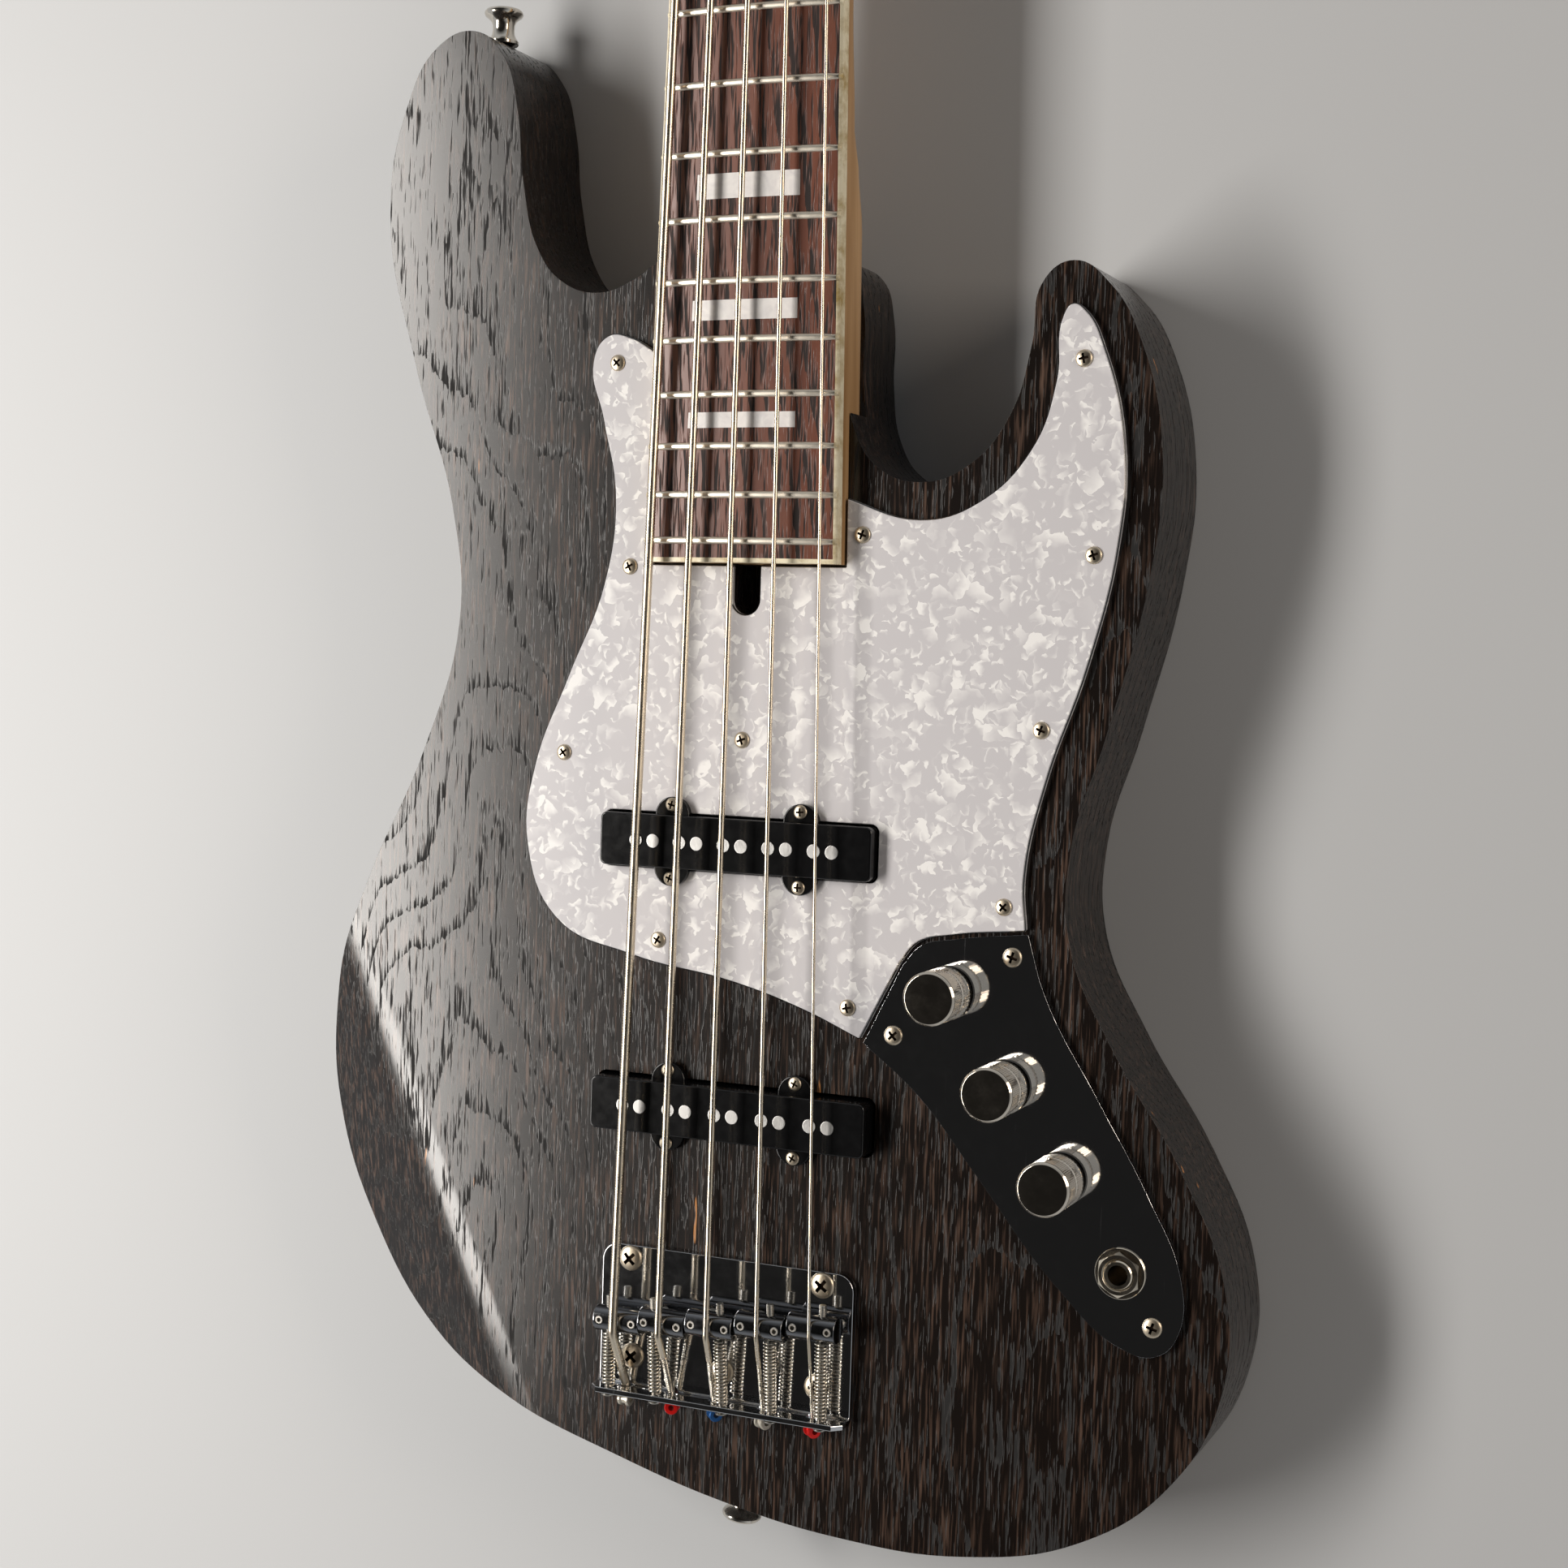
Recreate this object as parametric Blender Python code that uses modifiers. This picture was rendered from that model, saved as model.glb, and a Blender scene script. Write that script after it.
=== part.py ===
"""Five-string electric bass guitar, lying on its back.

Sizes below are millimetres and become metres as each shape is made. The back of the body is the
plane z = 0, and its front face is at z = BODY_THICKNESS. The strings run along +Y from the bridge
to the headstock, x = 0 is the centreline, and y = 0 is the end of the scale, the line that a fret
number counts down to. +X is the treble side.
"""

import math

import bmesh
import bpy
from mathutils import Matrix, Vector

MM = 0.001
GAP = 0.3  # clearance between pieces that seat on or in each other
PAST = 5.0  # how far a cutter runs past the face that it cuts through

# Scale and strings
SCALE_LENGTH = 863.6
FRET_COUNT = 21
STRING_NAMES = ("b", "e", "a", "d", "g")
STRING_DIAMETERS = (3.3, 2.6, 2.1, 1.6, 1.1)
BRIDGE_PITCH = 18.1
NUT_PITCH = 9.15
ACTION_AT_SADDLE = 3.4
ACTION_AT_NUT = 0.5
WRAP_TURNS = 2
WRAP_ABOVE_HEAD = 3.2
WRAP_SPACING = 0.35
BALL_DIAMETER = 4.8
BALL_WIDTH = 4.4

# Body
BODY_THICKNESS = 43.0
EDGE_ROUND = 9.0
OUTLINE_STEPS = 3
EDGE_STEPS = 2
FOREARM_SLOPE = math.radians(15)
FOREARM_START = Vector((-153.0, 122.0))
FOREARM_END = Vector((-70.0, -58.0))
BELLY_CENTRE = Vector((-150.0, 222.0))
BELLY_RADIUS = 210.0
BELLY_DEPTH = 15.0
BELLY_TIP = 13.0
BODY_END_Y = 355.0

# Neck and fretboard
BOARD_TOP = 11.2
BOARD_THICKNESS = 6.2
BOARD_CAMBER = 254.0
CAMBER_FACETS = 4
BOARD_HALF_AT_NUT = 23.4
BOARD_HALF_AT_END = 35.4
BOARD_PAST_LAST_FRET = 7.2
BINDING = 1.5
FRET_WIDTH = 2.6
FRET_HEIGHT = 1.0
HEEL_THICKNESS = 25.4
NECK_AT_NUT = 20.5
NECK_AT_TWELFTH = 23.0
HEEL_BLEND = 46.0
NUT_LENGTH = 4.0
NUT_ABOVE_BOARD = 2.6

# Truss rod and its access slot
ROD_DIAMETER = 6.0
ROD_NUT_DIAMETER = 8.6
ROD_NUT_LENGTH = 13.0
ROD_NUT_INSET = 1.5
ROD_SOCKET = 4.4
ROD_SOCKET_DEPTH = 5.0
ROD_UNDER_BOARD = 2.0
ROD_SHORT_OF_NUT = 8.0
ACCESS_WIDTH = 10.0
ACCESS_LENGTH = 17.0
ACCESS_DEPTH = 12.0

# Headstock
HEAD_THICKNESS = 14.3
HEAD_DROP = 9.2
HEAD_LENGTH = 178.0
HEAD_HALF = 45.0
HEAD_TIP_HALF = 22.0
HEAD_CHAMFER = 1.2

# Tuning machines: bass side carries b, e and a, treble side carries d and g
POST_PAST_NUT = {"b": 38.4, "e": 83.4, "a": 128.4, "d": 83.4, "g": 38.4}
POST_X = {"b": -29.0, "e": -26.5, "a": -24.0, "d": 26.5, "g": 29.0}
POST_RADIUS = 6.2
POST_WAIST = 4.8
POST_HEIGHT = 19.0
POST_SLOT = 2.0
POST_SLOT_DEPTH = 4.0
WAIST_LOW = 1.0
WAIST_TOP = 16.0
GEAR_TEETH = 20
GEAR_MODULE = 1.0
GEAR_WIDTH = 5.6
WORM_RADIUS = 4.0
WORM_THREAD_HEIGHT = 1.15
WORM_THREAD = 0.75
WORM_DEPTH = 0.2
WORM_TURNS = 3
PLATE_THICKNESS = 1.6
PLATE_HALF = 15.0
PLATE_BEFORE_POST = 13.0
PLATE_PAST_WORM = 6.5
LUG_WIDTH = 8.0
LUG_THICKNESS = 2.6
LUG_GAP = 1.3
KEY_SHAFT = 2.6
KEY_REACH = 15.0
KEY_PADDLE = 11.0
KEY_THICKNESS = 3.6

# Pickguard and control plate
GUARD_THICKNESS = 2.3
PANEL_THICKNESS = 1.6

# Pickups
PICKUP_WIDTH = 18.2
NECK_PICKUP_Y = 154.6
NECK_PICKUP_LENGTH = 100.4
NECK_PICKUP_ABOVE = 7.3
BRIDGE_PICKUP_Y = 63.0
BRIDGE_PICKUP_LENGTH = 102.0
BRIDGE_PICKUP_ABOVE = 8.0
PICKUP_DEPTH = 16.0
COIL_BELOW_COVER = 3.0
ROUT_MARGIN = 1.0
COVER_WALL = 1.3
COVER_CORNER = 2.0
POLE_DIAMETER = 4.8
POLE_SPREAD = 6.5
EAR_RADIUS = 6.4
EAR_X = 23.8
EAR_THICKNESS = 2.6

# Bridge
PLATE_MARGIN = 2.3
PLATE_FRONT_Y = 13.2
PLATE_REAR_Y = -37.5
PLATE_CORNER = 6.0
BRIDGE_PLATE = 2.0
REAR_WALL = 10.8
REAR_WALL_CHAMFER = 3.0
SADDLE_DIAMETER = 9.0
SADDLE_GAP = 0.7
SADDLE_Y = (-11.4, -9.4, -7.5, -5.6, -4.0)
SCREW_OFFSET = (-4.2, -4.2, 3.0, 3.0, 3.0)
HOLE_OFFSET = (0.6, 0.6, -1.4, -1.4, -1.4)
INTONATION_SCREW = 2.6
SCREW_PAST_SADDLE = 8.0
SCREW_HEAD = 4.6
SCREW_HOLE = 3.8
SCREW_WALL_HEIGHT = 8.3
STRING_HOLE_HEIGHT = 4.4
STRING_HOLE = 4.6
GRUB_SCREW = 3.0
GRUB_OFFSET = 6.2
GRUB_ABOVE_AXIS = 4.0
GROOVE_DEPTH = 0.7
SPRING_DIAMETER = 4.9
SPRING_WIRE = 0.7
SPRING_PITCH = 3.8

# Controls
KNOB_CENTRES = ((76.5, 110.8), (96.9, 81.9), (116.7, 53.9))
KNOB_DIAMETER = 17.6
KNOB_HEIGHT = 17.4
KNOB_GAP = 1.2
KNOB_RECESS = 12.8
KNOB_RECESS_DEPTH = 4.0
KNOB_CAP = 3.0
KNOB_EDGE = 0.8
POT_DIAMETER = 24.0
POT_BODY = 9.0
POT_BELOW_FACE = 1.0
POT_BUSH = 7.0
POT_NUT = 10.8
POT_NUT_HEIGHT = 2.0
POT_BUSH_ABOVE_NUT = 0.8
POT_SHAFT = 6.0
JACK_CENTRE = (138.0, 26.2)
JACK_BORE = 6.5
JACK_BUSH = 9.4
JACK_BODY = 13.0
JACK_LENGTH = 24.0
JACK_END_WALL = 2.0
JACK_BUSH_ABOVE = 3.4
JACK_NUT = 15.0
JACK_NUT_HEIGHT = 2.2
JACK_WASHER = 16.6
JACK_WASHER_THICKNESS = 0.8
CAVITY_DEPTH = 35.0

# Strap buttons and neck bolts
BUTTON_FLANGE = 14.0
BUTTON_HEIGHT = 12.5
BUTTON_BASE = 11.0
BUTTON_WAIST = 7.8
HORN_BUTTON = (-113.5, 435.2)
TAIL_BUTTON = (0.0, -72.1)
BOLT_X = 20.0
BOLT_FROM_BOARD_END = 18.0
BOLT_FROM_BODY_END = 24.0
BOLT_HEAD = 13.6
BOLT_SHANK = 5.0
BOLT_FERRULE = 3.2
BOLT_RECESS = 0.4
BOLT_IN_NECK = 15.0

# Outline of the body, clockwise from the bass cutaway, as points on one smooth curve
BODY_OUTLINE = (
    (-36.5, 352.5), (-46.0, 346.6), (-60.0, 342.2), (-74.5, 346.2), (-84.5, 357.5),
    (-91.2, 381.0), (-94.6, 408.0), (-100.5, 425.5), (-112.5, 435.0), (-127.5, 430.5),
    (-139.4, 411.0), (-145.7, 372.0), (-133.5, 318.5), (-116.5, 267.0), (-112.8, 228.0),
    (-126.5, 181.0), (-148.0, 135.0), (-164.0, 88.0), (-165.8, 48.0), (-150.0, 5.0),
    (-121.0, -30.5), (-83.0, -49.5), (-42.0, -62.0), (0.0, -71.8), (44.0, -77.0),
    (88.0, -75.5), (128.0, -63.5), (156.5, -40.0), (171.5, -9.0), (171.2, 25.0),
    (156.0, 60.0), (132.0, 97.0), (116.6, 129.0), (115.8, 160.0), (126.0, 196.5),
    (138.2, 247.0), (140.8, 286.0), (132.6, 321.0), (121.5, 339.5), (109.5, 347.0),
    (99.8, 341.0), (96.6, 321.0), (90.6, 299.5), (77.5, 283.0), (60.5, 277.0),
    (45.0, 282.0), (36.5, 294.5), (33.4, 312.0), (32.6, 336.0),
)
HEEL_CORNER = ((28.0, 350.0), (18.0, BODY_END_Y), (0.0, BODY_END_Y), (-20.0, BODY_END_Y))

# Outlines with corners: a third item of 1 marks a sharp one
GUARD_OUTLINE = (
    (-38.0, 322.0, 1), (-45.5, 326.0), (-55.0, 327.0), (-60.6, 318.5), (-56.0, 298.0),
    (-50.6, 272.0), (-54.0, 242.0), (-67.0, 210.0), (-79.5, 178.0), (-81.8, 151.0),
    (-69.5, 125.0), (-40.0, 114.4), (0.0, 107.8), (26.0, 100.6), (46.4, 92.6, 1),
    (60.0, 119.6, 1), (66.0, 126.6), (77.0, 129.6), (102.6, 132.8, 1), (101.4, 150.0),
    (107.5, 181.0), (120.0, 219.0), (128.4, 257.0), (129.4, 287.0), (121.5, 319.0),
    (114.8, 331.0), (110.4, 333.2), (107.3, 329.5), (105.8, 309.0), (98.5, 287.5),
    (80.5, 270.0), (61.5, 264.8), (34.5, 272.0, 1),
)
PANEL_OUTLINE = (
    (47.6, 91.6, 1), (60.6, 118.6, 1), (66.6, 125.4), (78.0, 128.4), (103.2, 131.8, 1),
    (110.0, 111.5), (128.5, 80.5), (146.0, 51.5), (157.4, 27.0), (157.4, 9.0),
    (150.5, 1.0), (139.0, 2.0), (118.0, 18.0), (88.0, 52.5), (68.0, 75.5),
)
CAVITY_OUTLINE = (
    (62.0, 108.0), (72.0, 124.0), (92.0, 126.0), (106.0, 106.0), (134.0, 62.0),
    (152.0, 30.0), (153.0, 18.0), (143.0, 9.0), (128.0, 15.0), (104.0, 46.0), (70.0, 88.0),
)

SADDLE_LENGTH = BRIDGE_PITCH - SADDLE_GAP
PLATE_WIDTH = (len(STRING_NAMES) - 1) * BRIDGE_PITCH + SADDLE_LENGTH + 2 * PLATE_MARGIN
WORM_CORE = WORM_RADIUS - WORM_THREAD_HEIGHT
HEAD_START_Y = SCALE_LENGTH + NUT_LENGTH
POST_Y = {name: HEAD_START_Y + past for name, past in POST_PAST_NUT.items()}

FRONT = BODY_THICKNESS
BRIDGE_FLOOR = FRONT + GAP + BRIDGE_PLATE
GLUE_Z = FRONT + BOARD_TOP - BOARD_THICKNESS
POCKET_Z = FRONT + BOARD_TOP - HEEL_THICKNESS
HEAD_TOP_Z = FRONT + BOARD_TOP - HEAD_DROP
HEAD_BACK_Z = HEAD_TOP_Z - HEAD_THICKNESS
GUARD_TOP_Z = FRONT + GAP + GUARD_THICKNESS
PANEL_TOP_Z = FRONT + GAP + PANEL_THICKNESS


def fret_y(number):
    return SCALE_LENGTH * 2 ** (-number / 12)


BOARD_END_Y = fret_y(FRET_COUNT) - BOARD_PAST_LAST_FRET


def board_half(y):
    share = (y - BOARD_END_Y) / (SCALE_LENGTH - BOARD_END_Y)
    return BOARD_HALF_AT_END + share * (BOARD_HALF_AT_NUT - BOARD_HALF_AT_END)


def camber_drop(x):
    return BOARD_CAMBER - math.sqrt(BOARD_CAMBER ** 2 - x ** 2)


def string_x(index, y):
    place = index - (len(STRING_NAMES) - 1) / 2
    return place * (BRIDGE_PITCH + (NUT_PITCH - BRIDGE_PITCH) * y / SCALE_LENGTH)


def string_bottom(index, y):
    """Height of a string's underside above z = 0, between the saddle and the nut."""
    fret_top = FRONT + BOARD_TOP + FRET_HEIGHT - camber_drop(string_x(index, y))
    return fret_top + ACTION_AT_SADDLE + (ACTION_AT_NUT - ACTION_AT_SADDLE) * y / SCALE_LENGTH


def saddle_centre(index):
    y = SADDLE_Y[index]
    groove_floor = string_bottom(index, y) - GAP
    return Vector((string_x(index, 0), y, groove_floor - SADDLE_DIAMETER / 2 + GROOVE_DEPTH))


for old in list(bpy.data.objects):
    bpy.data.objects.remove(old, do_unlink=True)

PARTS = bpy.data.collections.new("bass_guitar")
HELPERS = bpy.data.collections.new("cutters")
bpy.context.scene.collection.children.link(PARTS)
bpy.context.scene.collection.children.link(HELPERS)
HELPERS.hide_render = True


def material(name, colour, roughness, metallic=0.0):
    made = bpy.data.materials.new(name)
    made.use_nodes = True
    shader = made.node_tree.nodes["Principled BSDF"]
    shader.inputs["Base Color"].default_value = (*colour, 1.0)
    shader.inputs["Roughness"].default_value = roughness
    shader.inputs["Metallic"].default_value = metallic
    made.diffuse_color = (*colour, 1.0)
    return made


STAINED_ASH = material("stained_ash", (0.045, 0.036, 0.032), 0.45)
PEARLOID = material("pearloid", (0.80, 0.79, 0.77), 0.25)
CHROME = material("chrome", (0.78, 0.78, 0.78), 0.08, 1.0)
NICKEL = material("nickel", (0.72, 0.68, 0.62), 0.22, 1.0)
STEEL = material("steel", (0.55, 0.54, 0.52), 0.35, 1.0)
BLACK_PLASTIC = material("black_plastic", (0.012, 0.012, 0.013), 0.15)
MAPLE = material("maple", (0.62, 0.38, 0.16), 0.3)
ROSEWOOD = material("rosewood", (0.09, 0.035, 0.022), 0.5)
CREAM = material("cream_binding", (0.80, 0.72, 0.52), 0.35)
BONE = material("bone", (0.84, 0.80, 0.70), 0.4)
BRASS = material("brass", (0.70, 0.50, 0.22), 0.3, 1.0)


def place(obj, collection):
    for owner in list(obj.users_collection):
        owner.objects.unlink(obj)
    collection.objects.link(obj)
    return obj


def finished(obj, name, look):
    """Makes a mesh object a part of the model, with its name, material and smooth shading."""
    obj.name = name
    obj.data.name = name
    obj.data.materials.clear()
    obj.data.materials.append(look)
    obj.data.shade_smooth()
    obj.data.set_sharp_from_angle(angle=math.radians(35))
    return place(obj, PARTS)


def from_bmesh(bm, name="shape"):
    bmesh.ops.recalc_face_normals(bm, faces=bm.faces)
    mesh = bpy.data.meshes.new(name)
    bm.to_mesh(mesh)
    bm.free()
    return link_helper(name, mesh)


def link_helper(name, mesh):
    obj = bpy.data.objects.new(name, mesh)
    HELPERS.objects.link(obj)
    return obj


def block(low, high):
    """A box between two corners."""
    bm = bmesh.new()
    bmesh.ops.create_cube(bm, size=1.0)
    low, high = Vector(low) * MM, Vector(high) * MM
    size = high - low
    middle = (low + high) / 2
    bmesh.ops.transform(bm, matrix=Matrix.Translation(middle) @ Matrix.Diagonal((*size, 1.0)), verts=bm.verts)
    return from_bmesh(bm)


def rod(start, end, radius, sides=16):
    """A cylinder between two points."""
    start, end = Vector(start) * MM, Vector(end) * MM
    bm = bmesh.new()
    bmesh.ops.create_cone(bm, cap_ends=True, segments=sides, radius1=radius * MM, radius2=radius * MM,
                          depth=(end - start).length)
    turn = (end - start).to_track_quat("Z", "Y").to_matrix().to_4x4()
    bmesh.ops.transform(bm, matrix=Matrix.Translation((start + end) / 2) @ turn, verts=bm.verts)
    return from_bmesh(bm)


def meshed(obj):
    """A curve object as a mesh object, its caps welded on."""
    bpy.context.view_layer.update()
    graph = bpy.context.evaluated_depsgraph_get()
    mesh = bpy.data.meshes.new_from_object(obj.evaluated_get(graph))
    bm = bmesh.new()
    bm.from_mesh(mesh)
    bmesh.ops.remove_doubles(bm, verts=bm.verts, dist=1e-6)
    bmesh.ops.recalc_face_normals(bm, faces=bm.faces)
    bm.to_mesh(mesh)
    bm.free()
    made = link_helper(obj.name, mesh)
    made.matrix_world = obj.matrix_world
    bpy.data.objects.remove(obj, do_unlink=True)
    return made


def slab(loops, low_z, high_z, round_by=0.0, steps=1, round_steps=1):
    """A flat shape between two heights. loops holds the outline and then any holes; steps over 1
    joins the points by a smooth curve, except at a point whose third item is 1."""
    data = bpy.data.curves.new("slab", "CURVE")
    data.dimensions = "2D"
    data.fill_mode = "BOTH"
    data.extrude = ((high_z - low_z) / 2 - round_by) * MM
    data.bevel_depth = round_by * MM
    data.bevel_resolution = round_steps
    data.offset = -round_by * MM
    data.resolution_u = steps
    for loop in loops:
        kind = "BEZIER" if steps > 1 else "POLY"
        spline = data.splines.new(kind)
        knots = spline.bezier_points if steps > 1 else spline.points
        knots.add(len(loop) - 1)
        for knot, point in zip(knots, loop):
            spot = (point[0] * MM, point[1] * MM, 0.0)
            knot.co = spot if steps > 1 else (*spot, 1.0)
            if steps > 1:
                corner = len(point) > 2 and point[2] == 1
                knot.handle_left_type = knot.handle_right_type = "VECTOR" if corner else "AUTO"
        spline.use_cyclic_u = True
    obj = link_helper("slab", data)
    obj.location.z = (low_z + high_z) / 2 * MM
    made = meshed(obj)
    made.data.transform(made.matrix_world)
    made.matrix_world = Matrix.Identity(4)
    return made


def circle(x, y, radius, sides=20):
    return [(x + radius * math.cos(2 * math.pi * k / sides), y + radius * math.sin(2 * math.pi * k / sides))
            for k in range(sides)]


def turned(profile, sides=24, at=(0, 0, 0), axis=(0, 0, 1)):
    """A solid of revolution. profile runs from its top end on the axis down its outer side to its
    bottom end on the axis, as (radius, height) pairs."""
    mesh = bpy.data.meshes.new("turned")
    points = [(r * MM, 0.0, z * MM) for r, z in profile]
    mesh.from_pydata(points, [(k, k + 1) for k in range(len(points) - 1)], [])
    obj = link_helper("turned", mesh)
    screw = obj.modifiers.new("turn", "SCREW")
    screw.steps = screw.render_steps = sides
    screw.use_merge_vertices = True
    screw.merge_threshold = 1e-6
    made = meshed(obj)
    turn = Vector(axis).to_track_quat("Z", "Y").to_matrix().to_4x4()
    made.data.transform(Matrix.Translation(Vector(at) * MM) @ turn)
    return made


def tube(points, radius, sides_level=2):
    """A round bar along a list of points."""
    data = bpy.data.curves.new("tube", "CURVE")
    data.dimensions = "3D"
    data.bevel_depth = radius * MM
    data.bevel_resolution = sides_level
    data.use_fill_caps = True
    spline = data.splines.new("POLY")
    spline.points.add(len(points) - 1)
    for knot, point in zip(spline.points, points):
        knot.co = (*(Vector(point) * MM), 1.0)
    return meshed(link_helper("tube", data))


def loft(rings):
    """Joins closed rings of as many points each into a skin with both ends filled."""
    bm = bmesh.new()
    made = [[bm.verts.new(Vector(point) * MM) for point in ring] for ring in rings]
    for near, far in zip(made, made[1:]):
        for k in range(len(near)):
            bm.faces.new((near[k], near[k - 1], far[k - 1], far[k]))
    bm.faces.new(made[0])
    bm.faces.new(reversed(made[-1]))
    return from_bmesh(bm)


def combine(obj, other, operation):
    step = obj.modifiers.new(operation.lower(), "BOOLEAN")
    step.operation = operation
    step.object = other
    step.solver = "EXACT"
    other.hide_render = True
    other.display_type = "WIRE"
    return obj


def cut(obj, *cutters):
    for cutter in cutters:
        combine(obj, cutter, "DIFFERENCE")
    return obj


def join(obj, *others):
    for other in others:
        combine(obj, other, "UNION")
    return obj


def bundle(objects):
    """Several separate shapes as one mesh object, to cut or join in one step."""
    bm = bmesh.new()
    for obj in objects:
        bm.from_mesh(obj.data)
        bpy.data.objects.remove(obj, do_unlink=True)
    return from_bmesh(bm)


def bolt_spots():
    rows = (BOARD_END_Y + BOLT_FROM_BOARD_END, BODY_END_Y - BOLT_FROM_BODY_END)
    return [(side * BOLT_X, y) for y in rows for side in (-1, 1)]


def neck_slot(clearance, low_z, high_z, start_y, end_y):
    """The tapered space that the neck takes up in plan, wider by a clearance."""
    near = board_half(start_y) + clearance
    far = board_half(end_y) + clearance
    return slab([[(-near, start_y), (near, start_y), (far, end_y), (-far, end_y)]], low_z, high_z)


def access_slot(clearance, low_z, high_z):
    """The slot in front of the neck's end that the truss rod's nut is reached through."""
    half = ACCESS_WIDTH / 2 + clearance
    end = BOARD_END_Y - ACCESS_LENGTH + half
    arc = [(half * math.cos(math.pi * (1 + k / 8)), end + half * math.sin(math.pi * (1 + k / 8)))
           for k in range(9)]
    return slab([arc + [(half, BOARD_END_Y + PAST), (-half, BOARD_END_Y + PAST)]], low_z, high_z)


def rounded_box(half_x, half_y, corner, x=0.0, y=0.0, sides=4):
    loop = []
    for quarter, (sx, sy) in enumerate(((1, 1), (-1, 1), (-1, -1), (1, -1))):
        for k in range(sides + 1):
            turn = math.pi / 2 * (quarter + k / sides)
            loop.append((x + sx * (half_x - corner) + corner * math.cos(turn),
                         y + sy * (half_y - corner) + corner * math.sin(turn)))
    return loop


def make_body():
    outline = BODY_OUTLINE + HEEL_CORNER
    body = slab([outline], 0.0, BODY_THICKNESS, EDGE_ROUND, OUTLINE_STEPS, EDGE_STEPS)
    pocket = neck_slot(GAP, POCKET_Z - GAP, FRONT + PAST, BOARD_END_Y - GAP, BODY_END_Y + PAST)
    cavities = []
    rout_floor = FRONT - PICKUP_DEPTH - COIL_BELOW_COVER - ROUT_MARGIN
    for y, length in ((NECK_PICKUP_Y, NECK_PICKUP_LENGTH), (BRIDGE_PICKUP_Y, BRIDGE_PICKUP_LENGTH)):
        half_x, half_y = length / 2 + ROUT_MARGIN, PICKUP_WIDTH / 2 + ROUT_MARGIN
        rout = rounded_box(half_x, half_y, COVER_CORNER + ROUT_MARGIN, 0.0, y)
        cavities.append(slab([rout], rout_floor, FRONT + PAST))
    controls = slab([CAVITY_OUTLINE], FRONT - CAVITY_DEPTH, FRONT + PAST, steps=2)
    slot = access_slot(0.0, FRONT - ACCESS_DEPTH, FRONT + PAST)
    bolts = bundle([bolt_hole(x, y) for x, y in bolt_spots()])
    cut(body, pocket, *cavities, controls, slot, bolts, forearm_cutter(), belly_cutter())
    finished(body, "body", STAINED_ASH)


def bolt_hole(x, y):
    head = BOLT_HEAD / 2 + GAP
    shank = BOLT_SHANK / 2 + GAP
    lip = BOLT_FERRULE + GAP
    high = POCKET_Z + PAST
    profile = [(0, high), (shank, high), (shank, lip), (head, lip), (head, -PAST), (0, -PAST)]
    return turned(profile, 12, (x, y, 0))


def forearm_cutter():
    """A sloping plane that takes off the front edge where the player's forearm lies."""
    along = (FOREARM_END - FOREARM_START).normalized()
    outward = Vector((along.y, -along.x))
    if outward.x > 0:
        outward = -outward
    middle = (FOREARM_START + FOREARM_END) / 2
    cutter = block((-200, 0, 0), (200, 90, 60))
    frame = Matrix((
        (along.x, outward.x, 0, middle.x * MM),
        (along.y, outward.y, 0, middle.y * MM),
        (0, 0, 1, FRONT * MM),
        (0, 0, 0, 1),
    ))
    if frame.determinant() < 0:
        frame = frame @ Matrix.Diagonal((-1, 1, 1, 1))
    tilt = Matrix.Rotation(-FOREARM_SLOPE, 4, "X")
    cutter.data.transform(frame @ tilt)
    return cutter


def belly_cutter():
    """A large cylinder, tipped a little, that scoops the back where it meets the player's body."""
    x, y = BELLY_CENTRE
    outer = (x - 60, y, BELLY_DEPTH - BELLY_RADIUS)
    inner = (x + 70, y, BELLY_DEPTH - BELLY_TIP - BELLY_RADIUS)
    return rod(outer, inner, BELLY_RADIUS, 72)


def make_pickguard():
    guard = slab([GUARD_OUTLINE], FRONT + GAP, GUARD_TOP_Z, steps=3)
    low, high = FRONT - PAST, FRONT + PAST
    neck = neck_slot(2 * GAP, low, high, BOARD_END_Y - 2 * GAP, BODY_END_Y + PAST)
    half_x, half_y = NECK_PICKUP_LENGTH / 2 + GAP, PICKUP_WIDTH / 2 + GAP
    hole = rounded_box(half_x, half_y, COVER_CORNER + GAP, 0.0, NECK_PICKUP_Y)
    cut(guard, neck, slab([hole], low, high), access_slot(0.0, low, high))
    finished(guard, "pickguard", PEARLOID)


def make_control_plate():
    panel = slab([PANEL_OUTLINE], FRONT + GAP, PANEL_TOP_Z, steps=3)
    low, high = FRONT - PAST, FRONT + PAST
    holes = [rod((x, y, low), (x, y, high), POT_BUSH / 2 + GAP) for x, y in KNOB_CENTRES]
    x, y = JACK_CENTRE
    holes.append(rod((x, y, low), (x, y, high), JACK_BUSH / 2 + GAP))
    cut(panel, bundle(holes))
    finished(panel, "control_plate", CHROME)


def pole_spots(y):
    """Two poles for each string, one on either side of it."""
    return [(string_x(index, y) + side * POLE_SPREAD / 2, y)
            for index in range(len(STRING_NAMES)) for side in (-1, 1)]


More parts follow.
